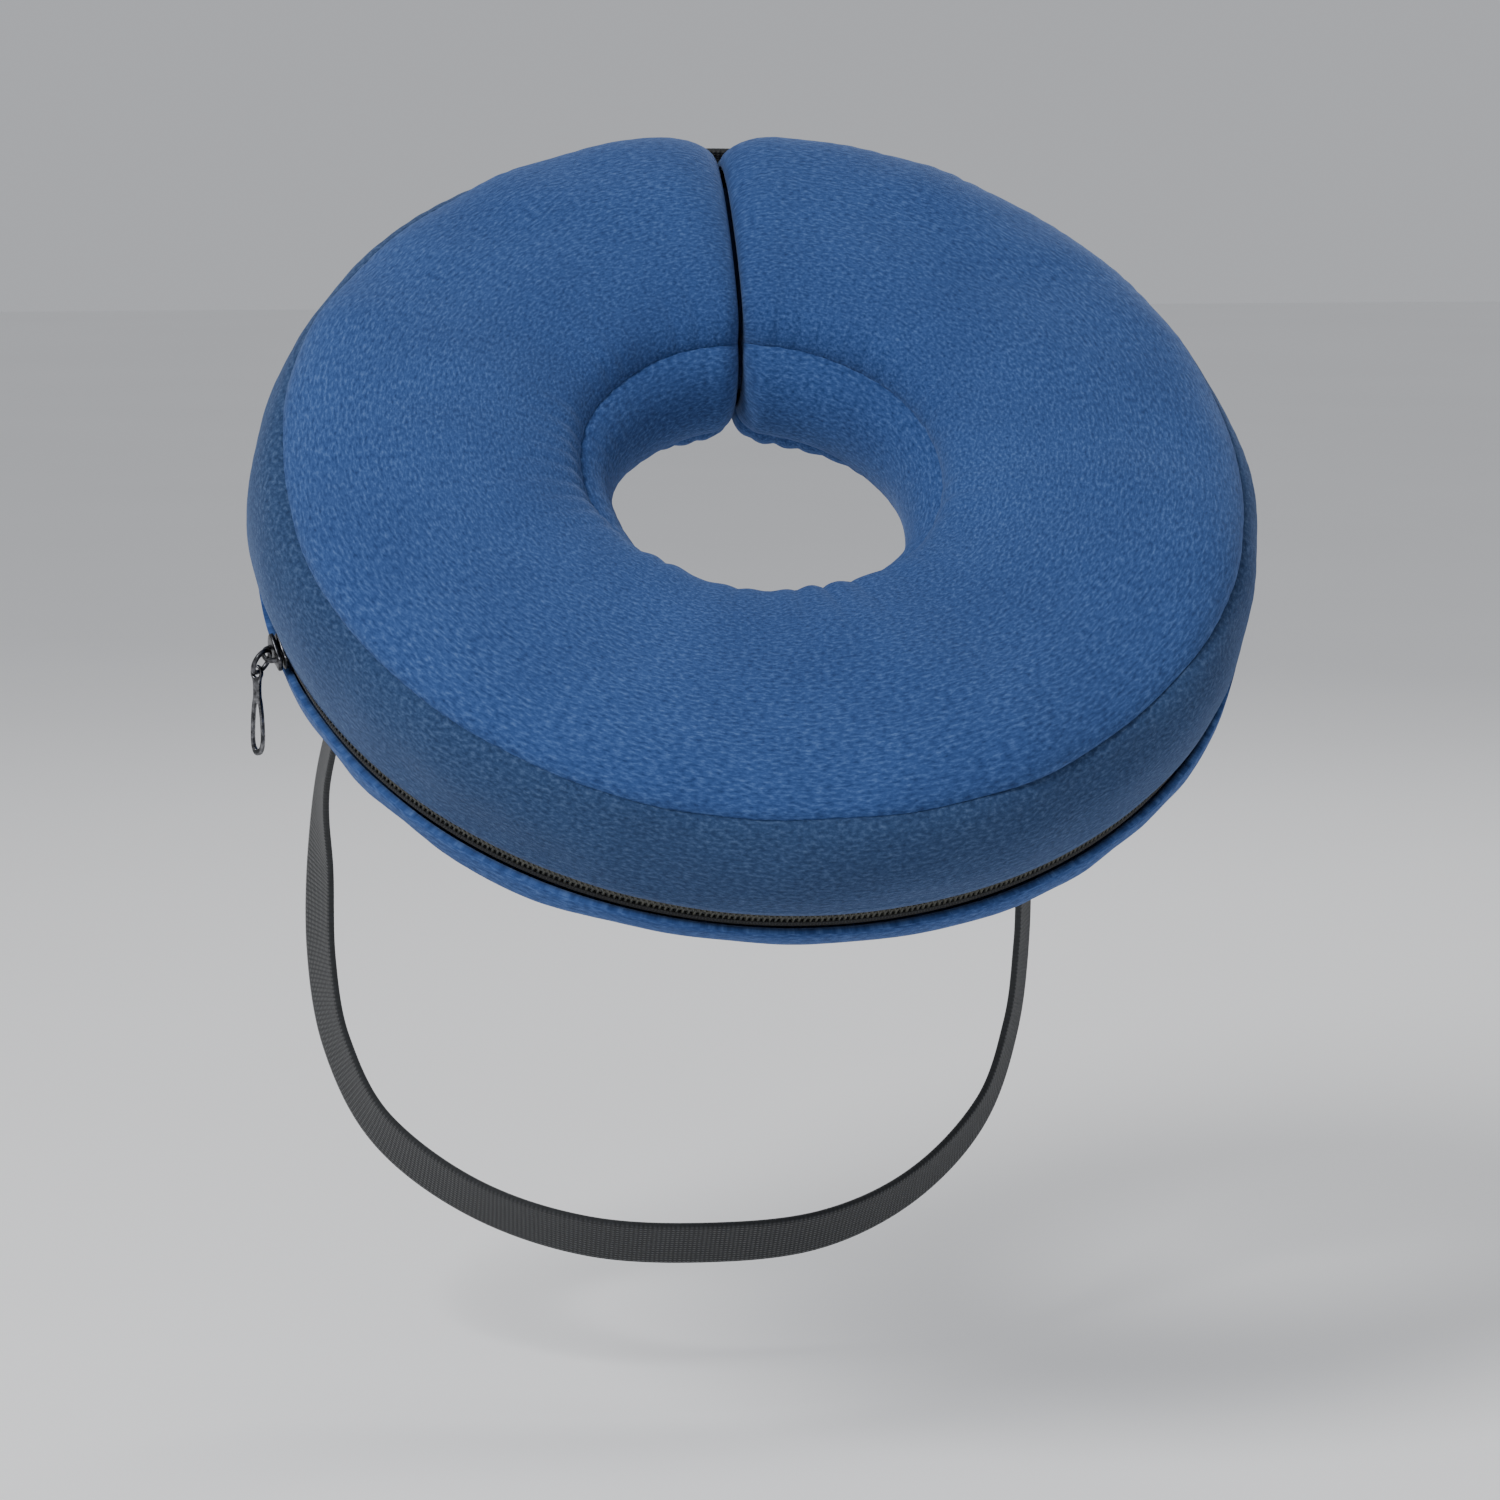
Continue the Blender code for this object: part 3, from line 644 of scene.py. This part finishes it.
def make_zip(tape, coil):
    angles = zip_angles()
    top = OUTER_RADIUS - TAPE_INSET
    low = top - TAPE_THICK

    def tape_outline(side):
        def outline(at):
            scale = zip_scale(at)
            lip = ZIP_CENTRE + side * scale * (ZIP_WIDTH / 2.0 - GAP)
            root = ZIP_CENTRE + side * scale * (COIL_WIDTH / 2.0 + GAP)
            middle = (lip + root) / 2.0
            rows = [(top, lip), (top + 0.00015, middle), (top - 0.0002, root), (low, root), (low, lip)]
            return np.stack([np.stack([np.broadcast_to(r, z.shape), z], axis=-1) for r, z in rows], axis=1)
        return outline

    def core_outline(at):
        scale = zip_scale(at)
        rows = []
        for step in range(7):
            turn = math.pi * step / 6.0
            rows.append((low + 0.0009 * math.sin(turn) + 0.0001, scale * 0.40 * COIL_WIDTH * math.cos(turn)))
        pairs = [(np.broadcast_to(r, z.shape), ZIP_CENTRE + z) for r, z in rows]
        return np.stack([np.stack(pair, axis=-1) for pair in pairs], axis=1)

    swept_strip("zip_tape_upper", tape_outline(1.0), angles, tape, ("zip_tape_front",))
    swept_strip("zip_tape_lower", tape_outline(-1.0), angles, tape, ("zip_tape_back",))
    swept_strip("zip_core", core_outline, angles, coil, ("zip_coil",))
    first = ZIP_START + 0.4
    tooth = capsule_mesh("coil_tooth", 0.68 * COIL_WIDTH, 0.00040, 7, 3)
    for label, side, shift in (("upper", 1.0, 0.0), ("lower", -1.0, 0.5)):
        pitch = math.degrees(COIL_PITCH / OUTER_RADIUS)
        spots = np.arange(first + shift * pitch, 360.0 - first, pitch / 3.0)
        path, out = rim_path(low + 0.00085, ZIP_CENTRE + side * 0.17 * COIL_WIDTH, spots)
        turn = math.radians(90.0 + TOOTH_LEAN * side)
        along_path("coil_teeth_" + label, path, out, tooth, COIL_PITCH, coil, turn)


def rim_path(radius, depth, angles):
    """Points round the ring at one place of the section, with the direction out of the ring there."""
    spots = ring_points(
        np.full((len(angles), 1), radius), np.full((len(angles), 1), depth), angles, SLIT / 2.0
    )[:, 0]
    centre = np.array(TURN[:, 2]) * depth
    out = spots - centre
    return spots, out / np.linalg.norm(out, axis=1)[:, None]


# What repeats along a path, by Geometry Nodes

def capsule_mesh(name, length, radius, sides, caps):
    """A round-ended bar along X, with few faces."""
    rings = []
    straight = length / 2.0 - radius
    for end in (-1.0, 1.0):
        order = range(caps) if end < 0.0 else reversed(range(caps))
        for step in order:
            turn = 0.5 * math.pi * (step + 0.5) / caps
            rings.append((end * (straight + radius * math.cos(turn)), radius * math.sin(turn)))
    work = bmesh.new()
    loops = []
    turns = [2.0 * math.pi * i / sides for i in range(sides)]
    for place, size in rings:
        loops.append([work.verts.new((place, size * math.cos(t), size * math.sin(t))) for t in turns])
    for near, far in zip(loops, loops[1:]):
        for step in range(sides):
            after = (step + 1) % sides
            work.faces.new((near[step], near[after], far[after], far[step]))
    work.faces.new(loops[0])
    work.faces.new(loops[-1])
    bmesh.ops.recalc_face_normals(work, faces=work.faces)
    mesh = bpy.data.meshes.new(name)
    work.to_mesh(mesh)
    work.free()
    mesh.shade_smooth()
    return mesh


def repeat_tree(name):
    """Spaces a small shape along a path: Z to the stored outward direction, X along the path."""
    tree = bpy.data.node_groups.new(name, "GeometryNodeTree")
    face = tree.interface
    face.new_socket("Path", in_out="INPUT", socket_type="NodeSocketGeometry")
    face.new_socket("Shape", in_out="INPUT", socket_type="NodeSocketObject")
    face.new_socket("Pitch", in_out="INPUT", socket_type="NodeSocketFloat")
    face.new_socket("Turn", in_out="INPUT", socket_type="NodeSocketFloat")
    face.new_socket("Finish", in_out="INPUT", socket_type="NodeSocketMaterial")
    face.new_socket("Row", in_out="OUTPUT", socket_type="NodeSocketGeometry")
    given = tree.nodes.new("NodeGroupInput")
    result = tree.nodes.new("NodeGroupOutput")
    curve = tree.nodes.new("GeometryNodeMeshToCurve")
    spaced = tree.nodes.new("GeometryNodeResampleCurve")
    if "Mode" in spaced.inputs:
        spaced.inputs["Mode"].default_value = "Length"
    else:
        spaced.mode = "LENGTH"
    shape = tree.nodes.new("GeometryNodeObjectInfo")
    out = add_node(tree, "GeometryNodeInputNamedAttribute", {"Name": "out"}, data_type="FLOAT_VECTOR")
    tangent = tree.nodes.new("GeometryNodeInputTangent")
    stand = add_node(tree, "FunctionNodeAlignRotationToVector", axis="Z")
    point = add_node(tree, "FunctionNodeAlignRotationToVector", axis="X", pivot_axis="Z")
    spin = add_node(tree, "FunctionNodeAxisAngleToRotation", {"Axis": (0.0, 0.0, 1.0)})
    turned = add_node(tree, "FunctionNodeRotateRotation", rotation_space="LOCAL")
    copies = tree.nodes.new("GeometryNodeInstanceOnPoints")
    real = tree.nodes.new("GeometryNodeRealizeInstances")
    finish = tree.nodes.new("GeometryNodeSetMaterial")
    link = tree.links.new
    link(given.outputs["Path"], curve.inputs["Mesh"])
    link(curve.outputs["Curve"], spaced.inputs["Curve"])
    link(given.outputs["Pitch"], spaced.inputs["Length"])
    link(given.outputs["Shape"], shape.inputs["Object"])
    link(out.outputs["Attribute"], stand.inputs["Vector"])
    link(stand.outputs["Rotation"], point.inputs["Rotation"])
    link(tangent.outputs["Tangent"], point.inputs["Vector"])
    link(given.outputs["Turn"], spin.inputs["Angle"])
    link(point.outputs["Rotation"], turned.inputs["Rotation"])
    link(spin.outputs["Rotation"], turned.inputs["Rotate By"])
    link(spaced.outputs["Curve"], copies.inputs["Points"])
    link(shape.outputs["Geometry"], copies.inputs["Instance"])
    link(turned.outputs["Rotation"], copies.inputs["Rotation"])
    link(copies.outputs["Instances"], real.inputs["Geometry"])
    link(real.outputs["Geometry"], finish.inputs["Geometry"])
    link(given.outputs["Finish"], finish.inputs["Material"])
    link(finish.outputs["Geometry"], result.inputs["Row"])
    return tree


def along_path(name, path, out, shape_mesh, pitch, material, turn=0.0):
    """Copies of a small mesh along a path, realized as one piece."""
    mesh = bpy.data.meshes.new(name + "_path")
    mesh.from_pydata([tuple(spot) for spot in path], [(i, i + 1) for i in range(len(path) - 1)], [])
    stored = mesh.attributes.new("out", "FLOAT_VECTOR", "POINT")
    stored.data.foreach_set("vector", np.asarray(out, dtype=np.float32).ravel())
    guide = bpy.data.objects.new(name + "_path", mesh)
    shape = bpy.data.objects.new(name + "_shape", shape_mesh)
    for item in (guide, shape):
        bpy.context.scene.collection.objects.link(item)
    tree = bpy.data.node_groups.get("repeat_on_path") or repeat_tree("repeat_on_path")
    nodes = guide.modifiers.new("repeat", "NODES")
    nodes.node_group = tree
    values = {"Shape": shape, "Pitch": pitch, "Turn": turn, "Finish": material}
    for item in tree.interface.items_tree:
        if item.in_out == "INPUT" and item.name in values:
            nodes[item.identifier] = values[item.name]
    bpy.context.view_layer.update()
    seen = guide.evaluated_get(bpy.context.evaluated_depsgraph_get())
    made = bpy.data.meshes.new_from_object(seen)
    made.name = name
    for item in (guide, shape):
        bpy.data.objects.remove(item)
    if not made.materials:
        made.materials.append(material)
    made.shade_smooth()
    return dress(name, made, material)


# Stitch spacings, and how far the hem's row runs from the zip's edge
SEAM_PITCH = 0.0030
HEM_PITCH = 0.0027
BOX_PITCH = 0.0030
HEM_OFFSET = 0.0019


def make_stitches(blue_thread):
    """Ladder stitches down in the front seam, and a row beside each edge of the zip."""
    short = capsule_mesh("stitch_short", 0.0019, 0.00019, 6, 2)
    angles = np.linspace(9.0, 351.0, 500)
    path, out = rim_path(SEAM_RADIUS - 0.0007, FRONT_SEAM + 0.0003, angles)
    along_path("seam_stitches", path, out, short, SEAM_PITCH, blue_thread, math.radians(90.0))
    angles = np.linspace(ZIP_START + 1.0, 359.0 - ZIP_START, 500)
    upper = ZIP_CENTRE + ZIP_WIDTH / 2.0 + HEM_OFFSET
    lower = ZIP_CENTRE - ZIP_WIDTH / 2.0 - HEM_OFFSET
    for label, depth in (("upper", upper), ("lower", lower)):
        path, out = rim_path(OUTER_RADIUS - 0.00015, depth, angles)
        along_path("hem_stitches_" + label, path, out, short, HEM_PITCH, blue_thread)


# Slider, bail and pull

def slider_axes():
    turn = math.radians(SLIDER_ANGLE)
    out = RING_TURN @ Vector((math.sin(turn), math.cos(turn), 0.0))
    along = RING_TURN @ Vector((math.cos(turn), -math.sin(turn), 0.0))
    lift = OUTER_RADIUS - TAPE_INSET - TAPE_THICK + COIL_HEIGHT + GAP
    seat = RING_FRONT * ZIP_CENTRE + out * lift
    return seat, out, along


def to_frame(mesh, origin, x_axis, y_axis, z_axis):
    """Puts a mesh made at the origin into place, its axes along the three given ones."""
    turn = Matrix((x_axis, y_axis, z_axis)).transposed().to_4x4()
    mesh.transform(Matrix.Translation(origin) @ turn)


def evaluated_mesh(item, name):
    """The item's mesh with its modifiers or bevel worked in, and the item removed."""
    bpy.context.view_layer.update()
    made = bpy.data.meshes.new_from_object(item.evaluated_get(bpy.context.evaluated_depsgraph_get()))
    made.name = name
    bpy.data.objects.remove(item)
    return made


def flat_plate(name, outline, holes, thick, edge):
    """A plate of an outline in X and Y, with holes and rounded edges, its middle at Z 0."""
    curve = bpy.data.curves.new(name, "CURVE")
    curve.dimensions = "2D"
    curve.fill_mode = "BOTH"
    curve.extrude = thick / 2.0 - edge
    curve.bevel_depth = edge
    curve.bevel_resolution = 3
    curve.offset = -edge
    for loop in (outline, *holes):
        spline = curve.splines.new("POLY")
        spline.points.add(len(loop) - 1)
        for point, (x, y) in zip(spline.points, loop):
            point.co = (x, y, 0.0, 1.0)
        spline.use_cyclic_u = True
    item = bpy.data.objects.new(name, curve)
    bpy.context.scene.collection.objects.link(item)
    mesh = evaluated_mesh(item, name)
    work = bmesh.new()
    work.from_mesh(mesh)
    bmesh.ops.remove_doubles(work, verts=work.verts, dist=0.000002)
    bmesh.ops.recalc_face_normals(work, faces=work.faces)
    work.to_mesh(mesh)
    work.free()
    mesh.shade_smooth()
    mesh.set_sharp_from_angle(angle=math.radians(45.0))
    return mesh


def rounded_outline(rows, steps):
    """A closed outline, symmetric about X, smoothed through rows of (place along, half width)."""
    path = smooth_path([(x, y) for x, y in rows], steps)
    lower = [(x, -y) for x, y in path[::-1]]
    return [tuple(spot) for spot in path] + [spot for spot in lower[1:-1]]


# Slider plate, rear to front: place along and half width, in shares of its length and width
SLIDER_ROWS = (
    (-0.50, 0.02), (-0.47, 0.26), (-0.20, 0.33), (0.10, 0.46), (0.34, 0.50), (0.46, 0.34), (0.50, 0.02),
)
# Pull, top to bottom: place along and half width, in shares of its length and width
PULL_ROWS = (
    (0.000, 0.02), (0.020, 0.26), (0.060, 0.42), (0.120, 0.42), (0.180, 0.29), (0.340, 0.27),
    (0.430, 0.36), (0.600, 0.46), (0.800, 0.50), (0.920, 0.43), (0.985, 0.24), (1.000, 0.02),
)
EYE_ROWS = ((0.030, 0.01), (0.045, 0.20), (0.085, 0.27), (0.125, 0.20), (0.140, 0.01))
SLOT_ROWS = ((0.420, 0.01), (0.450, 0.13), (0.600, 0.24), (0.800, 0.29), (0.900, 0.20), (0.935, 0.01))


def scaled(rows, length, width):
    return [(x * length, y * width) for x, y in rows]


def make_slider(metal):
    seat, out, along = slider_axes()
    rows = scaled(SLIDER_ROWS, SLIDER_LENGTH, SLIDER_WIDTH)
    plate = flat_plate("slider_plate", rounded_outline(rows, 0.0006), (), 0.0011, 0.00035)
    to_frame(plate, seat + out * (SLIDER_THICK - 0.00055), along, RING_FRONT, out)
    dress("slider_plate", plate, metal, ("zip_slider",))
    under = flat_plate("slider_base", rounded_outline(scaled(rows, 0.97, 0.94), 0.0006), (), 0.0010, 0.0003)
    to_frame(under, seat + out * 0.0005, along, RING_FRONT, out)
    dress("slider_base", under, metal)
    small = rounded_outline(scaled(SLIDER_ROWS, 0.0030, 0.0022), 0.0004)
    post = flat_plate("slider_post", small, (), 0.0010, 0.0001)
    place = seat + out * (0.5 * SLIDER_THICK) + along * (0.24 * SLIDER_LENGTH)
    to_frame(post, place, along, RING_FRONT, out)
    dress("slider_post", post, metal)
    arch = bpy.data.curves.new("slider_bridge", "CURVE")
    arch.dimensions = "3D"
    spline = arch.splines.new("BEZIER")
    knots = ((-0.5, -0.10), (-0.36, 0.72), (0.0, 1.0), (0.36, 0.72), (0.5, -0.10))
    spline.bezier_points.add(len(knots) - 1)
    for knot, (x, z) in zip(spline.bezier_points, knots):
        knot.co = (x * BRIDGE_LENGTH * 0.86, 0.0, z * (BRIDGE_HEIGHT - 0.0006))
        knot.handle_left_type = "AUTO"
        knot.handle_right_type = "AUTO"
    arch.bevel_depth = 0.00050
    arch.bevel_resolution = 3
    arch.resolution_u = 8
    arch.use_fill_caps = True
    item = bpy.data.objects.new("slider_bridge", arch)
    bpy.context.scene.collection.objects.link(item)
    mesh = evaluated_mesh(item, "slider_bridge")
    for vert in mesh.vertices:
        vert.co.y *= 1.7
    outward(mesh)
    mesh.shade_smooth()
    to_frame(mesh, seat + out * SLIDER_THICK, along, RING_FRONT, out)
    dress("slider_bridge", mesh, metal)


def make_pull(metal, highlit):
    seat, out, along = slider_axes()
    hang = Vector((0.0, 0.0, -1.0))
    inside = seat + out * (SLIDER_THICK + 0.29 * BRIDGE_HEIGHT)
    tilt = (out * 0.8 - RING_UP * 0.6).normalized()
    centre = inside + tilt * BAIL_RADIUS
    normal = RING_FRONT.cross(tilt)
    work = bmesh.new()
    around, wire = 32, 10
    grid = []
    for step in range(around):
        turn = 2.0 * math.pi * step / around
        spoke = tilt * math.cos(turn) + RING_FRONT * math.sin(turn)
        ring = []
        for side in range(wire):
            swing = 2.0 * math.pi * side / wire
            reach = BAIL_RADIUS + BAIL_WIRE * math.cos(swing)
            spot = centre + spoke * reach + normal * (BAIL_WIRE * math.sin(swing))
            ring.append(work.verts.new(spot))
        grid.append(ring)
    for step in range(around):
        near, far = grid[step], grid[(step + 1) % around]
        for side in range(wire):
            after = (side + 1) % wire
            work.faces.new((near[side], near[after], far[after], far[side]))
    bmesh.ops.recalc_face_normals(work, faces=work.faces)
    mesh = bpy.data.meshes.new("bail_ring")
    work.to_mesh(mesh)
    work.free()
    mesh.shade_smooth()
    dress("bail_ring", mesh, metal, ("zip_bail",))
    down = (hang - normal * hang.dot(normal)).normalized()
    wire_run = normal.cross(down)
    top = centre + down * BAIL_RADIUS - hang * (PULL_EYE * PULL_LENGTH)
    outline = rounded_outline(scaled(PULL_ROWS, PULL_LENGTH, PULL_WIDTH), 0.0006)
    holes = [rounded_outline(scaled(rows, PULL_LENGTH, PULL_WIDTH), 0.0005) for rows in (EYE_ROWS, SLOT_ROWS)]
    tab = flat_plate("pull_tab", outline, holes, PULL_THICK, 0.0003)
    across = wire_run.cross(hang)
    to_frame(tab, top, hang, across, wire_run)
    # the tab takes the lighter metal: painted highlight
    dress("pull_tab", tab, highlit, ("zip_pull",))


# Strap and closure

def strap_half(side):
    lift = GAP + STRAP_THICK / 2.0
    turn = math.radians(side * STRAP_END_ANGLE)
    foot = Vector((STRAP_RADIUS * math.sin(turn), STRAP_RADIUS * math.cos(turn), -(HALF_DEPTH + lift)))
    foot = RING_TURN @ foot
    half = [(foot + RING_UP * (STRAP_SEWN * part), -RING_FRONT) for part in (1.0, 0.5, 0.0)]
    for reach, setback, drop, out, front, down in STRAP_ROUTE:
        lean = STRAP_LEAN * min(1.0, -2.6 * drop) * (0.3 + 0.7 * reach)
        spot = (side * reach * STRAP_REACH + lean, setback * STRAP_SETBACK, drop * STRAP_DROP)
        half.append((Vector(spot), Vector((side * out, -front, -down)).normalized()))
    return half


def strap_grid():
    """The web's middle line, its outer face directions and its across directions, all smooth."""
    rows = strap_half(1.0) + list(reversed(strap_half(-1.0)[:-1]))
    both = np.array([tuple(row[0]) + tuple(row[1]) for row in rows])
    spots = both[:, :3]
    padded = np.vstack([2.0 * both[0] - both[1], both, 2.0 * both[-1] - both[-2]])
    made = []
    for span in range(len(both) - 1):
        before, start, end, after = padded[span:span + 4]
        count = max(4, int(np.linalg.norm(spots[span + 1] - spots[span]) / 0.0016))
        part = np.linspace(0.0, 1.0, count, endpoint=False)[:, None]
        made.append(
            start
            + (end - before) * 0.5 * part
            + (before - 2.5 * start + 2.0 * end - 0.5 * after) * part**2
            + (1.5 * start - 0.5 * before - 1.5 * end + 0.5 * after) * part**3
        )
    made.append(both[-1:])
    both = np.vstack(made)
    line, face = both[:, :3], both[:, 3:]
    run = np.gradient(line, axis=0)
    run /= np.linalg.norm(run, axis=1)[:, None]
    face = face - run * (face * run).sum(axis=1)[:, None]
    face /= np.linalg.norm(face, axis=1)[:, None]
    return line, face, np.cross(run, face)


def band_mesh(name, line, face, across, width, thick):
    """A woven band with thick round edges and slightly raised selvedges."""
    half = width / 2.0
    profile = [(-1.0, 0.0), (-0.985, 0.32), (-0.93, 0.50), (-0.80, 0.47), (-0.4, 0.40), (0.0, 0.38)]
    profile += [(-x, z) for x, z in profile[-2::-1]]
    profile += [(x, -z) for x, z in profile[-2:0:-1]]
    grid = np.stack(
        [line + across * (x * half) + face * (z * thick) for x, z in profile], axis=1
    )
    rows, count = grid.shape[:2]
    index = np.arange(rows * count).reshape(rows, count)
    ahead = np.roll(index, -1, axis=1)
    faces = np.stack([index[:-1], ahead[:-1], ahead[1:], index[1:]], axis=-1).reshape(-1, 4).tolist()
    faces += [index[0].tolist(), index[-1].tolist()]
    mesh = bpy.data.meshes.new(name)
    mesh.from_pydata(grid.reshape(-1, 3).tolist(), [], faces)
    along = np.concatenate([[0.0], np.cumsum(np.linalg.norm(np.diff(line, axis=0), axis=1))])
    side = np.array([x for x, z in profile]) * half
    uv = np.stack(np.broadcast_arrays(along[:, None], side[None, :]), axis=-1).reshape(-1, 2)
    corner = np.empty(len(mesh.loops), dtype=np.int32)
    mesh.loops.foreach_get("vertex_index", corner)
    mesh.uv_layers.new(name="weave").data.foreach_set("uv", uv[corner].ravel())
    outward(mesh)
    mesh.shade_smooth()
    mesh.set_sharp_from_angle(angle=math.radians(60.0))
    return mesh


def make_strap(web, black_thread):
    line, face, across = strap_grid()
    band = band_mesh("chest_strap", line, face, across, STRAP_WIDTH, STRAP_THICK)
    dress("chest_strap", band, web, ("security_strap",))
    stitch = capsule_mesh("stitch_strap", 0.0021, 0.00024, 6, 2)
    for label, side in (("right", 1.0), ("left", -1.0)):
        half = strap_half(side)
        low, high = half[2][0], half[0][0]
        mark = -RING_FRONT
        wide = RING_UP.cross(mark).normalized() * (0.38 * STRAP_WIDTH)
        top = high - RING_UP * 0.0025 + mark * (0.43 * STRAP_THICK)
        foot = low + RING_UP * 0.0025 + mark * (0.43 * STRAP_THICK)
        corners = [top - wide, top + wide, foot + wide, foot - wide, top - wide]
        corners += [foot + wide, foot - wide, top + wide]
        path = polyline(corners, 0.0007)
        out = np.tile(np.array(mark), (len(path), 1))
        along_path("box_stitch_" + label, path, out, stitch, BOX_PITCH, black_thread)


def polyline(corners, step):
    spots = []
    for start, end in zip(corners, corners[1:]):
        count = max(2, int((end - start).length / step))
        spots += [start.lerp(end, i / count) for i in range(count)]
    spots.append(corners[-1])
    return [tuple(spot) for spot in spots]


def make_tab(web, black_thread):
    """The closure tab across the slit, on the outer side of the band, stitched near its edge."""
    angles = np.linspace(-TAB_ANGLE, TAB_ANGLE, 60)
    turn = np.radians(angles)
    depth = 0.10 * HALF_DEPTH
    radius = OUTER_RADIUS + GAP + TAB_THICK / 2.0
    spoke = np.stack([np.sin(turn), np.cos(turn), np.zeros_like(turn)], axis=1)
    line = (spoke * radius + np.array([0.0, 0.0, depth])) @ TURN.T
    out = spoke @ TURN.T
    front = np.tile(np.array(RING_FRONT), (len(angles), 1))
    band = band_mesh("closure_band", line, out, front, TAB_WIDTH, TAB_THICK)
    dress("closure_band", band, web, ("closure_tab",))
    stitch = capsule_mesh("stitch_tab", 0.0021, 0.00022, 6, 2)
    for label, side in (("front", 1.0), ("back", -1.0)):
        path = line + front * (side * 0.40 * TAB_WIDTH) + out * (0.47 * TAB_THICK)
        along_path("tab_stitch_" + label, path, out, stitch, BOX_PITCH, black_thread)


# Floor, light and camera

def make_stage():
    low, high = CAD_BOX
    floor = low[2] - 0.035
    work = bmesh.new()
    bmesh.ops.create_grid(work, x_segments=1, y_segments=1, size=6.0)
    mesh = bpy.data.meshes.new("floor")
    work.to_mesh(mesh)
    work.free()
    mesh.transform(Matrix.Translation((0.0, 0.0, floor)))
    made, tree, shader = new_material("pale_floor", 0.75)
    space = pattern_space(tree, "Object", (1.0, 1.0, 1.0))
    tone = ramp(tree, noise(tree, space, 3.0), ((0.3, (0.90, 0.90, 0.90)), (0.7, (0.92, 0.92, 0.92))))
    tree.links.new(tone, shader.inputs["Base Color"])
    mesh.materials.append(made)
    plane = bpy.data.objects.new("floor", mesh)
    bpy.context.scene.collection.objects.link(plane)


def area_light(name, place, target, size, power, colour=(1.0, 1.0, 1.0)):
    light = bpy.data.lights.new(name, "AREA")
    light.shape = "DISK"
    light.size = size
    light.energy = power
    light.color = colour
    lamp = bpy.data.objects.new(name, light)
    bpy.context.scene.collection.objects.link(lamp)
    lamp.location = place
    lamp.rotation_euler = (Vector(target) - Vector(place)).to_track_quat("-Z", "Y").to_euler()


def make_light():
    world = bpy.data.worlds.new("studio")
    bpy.context.scene.world = world
    world.use_nodes = True
    back = world.node_tree.nodes["Background"]
    back.inputs["Color"].default_value = (0.93, 0.95, 1.0, 1.0)
    back.inputs["Strength"].default_value = 0.50
    area_light("key", (-0.75, -0.85, 0.95), (0.0, 0.0, 0.0), 0.50, 21.0)
    area_light("fill", (1.10, -0.55, 0.05), (0.0, 0.0, -0.05), 0.70, 2.2)
    area_light("rim", (0.35, 1.00, 0.70), (0.0, 0.0, 0.0), 0.60, 4.0)


CAMERA_AZIMUTH = math.radians(-8.0)
CAMERA_ELEVATION = math.radians(8.0)
CAMERA_DISTANCE = 1.20
FRAME_HEIGHT = 0.372


def make_camera():
    low, high = (Vector(corner) for corner in CAD_BOX)
    aim = (low + high) / 2.0
    aim.y = 0.0
    direction = Vector(
        (
            math.sin(CAMERA_AZIMUTH) * math.cos(CAMERA_ELEVATION),
            -math.cos(CAMERA_AZIMUTH) * math.cos(CAMERA_ELEVATION),
            math.sin(CAMERA_ELEVATION),
        )
    )
    data = bpy.data.cameras.new("camera")
    data.sensor_width = 36.0
    data.lens = 36.0 * CAMERA_DISTANCE / FRAME_HEIGHT
    camera = bpy.data.objects.new("camera", data)
    bpy.context.scene.collection.objects.link(camera)
    camera.location = aim + direction * CAMERA_DISTANCE
    camera.rotation_euler = (-direction).to_track_quat("-Z", "Y").to_euler()
    bpy.context.scene.camera = camera


# Cloth tones, each from the shaded nap to the raised nap, for the panels and for the side band; the side
# band's set is darker, painted shade on the band
NAP_TONES = ((0.012, 0.032, 0.110), (0.025, 0.062, 0.188), (0.066, 0.126, 0.300))
SIDE_SHADE_TONES = ((0.011, 0.026, 0.072), (0.021, 0.045, 0.112), (0.056, 0.096, 0.190))


def main():
    cloth = brushed_cloth("blue_nap", *NAP_TONES)
    # darker copy of the panel cloth for the side band: painted shade
    shaded_side_cloth = brushed_cloth("blue_nap_side_shaded", *SIDE_SHADE_TONES)
    web = woven_web("black_webbing", (0.006, 0.007, 0.008), (0.030, 0.033, 0.036), 260.0, 0.0004)
    tape = woven_web("zip_tape_weave", (0.005, 0.005, 0.006), (0.022, 0.023, 0.024), 420.0, 0.0002)
    coil = coil_plastic("olive_black_coil")
    dark_metal = worn_metal("gunmetal", (0.030, 0.031, 0.034), (0.11, 0.11, 0.12), 0.26)
    # lighter copy of the gunmetal for the pull tab: painted highlight
    pull_highlight_metal = worn_metal("pull_gunmetal_highlit", (0.055, 0.056, 0.060), (0.22, 0.22, 0.23), 0.20)
    blue_thread = thread("blue_thread", (0.012, 0.026, 0.075), (0.030, 0.060, 0.150))
    black_thread = thread("black_thread", (0.006, 0.006, 0.007), (0.028, 0.029, 0.031))

    make_cover(cloth, shaded_side_cloth)
    make_end_panels(cloth)
    make_zip(tape, coil)
    make_stitches(blue_thread)
    make_slider(dark_metal)
    make_pull(dark_metal, pull_highlight_metal)
    make_strap(web, black_thread)
    make_tab(web, black_thread)
    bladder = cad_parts["air_bladder"]
    vinyl = clear_vinyl("bladder_vinyl")
    for holder in bladder.material_slots:
        holder.material = vinyl
    make_stage()
    make_light()
    make_camera()


main()
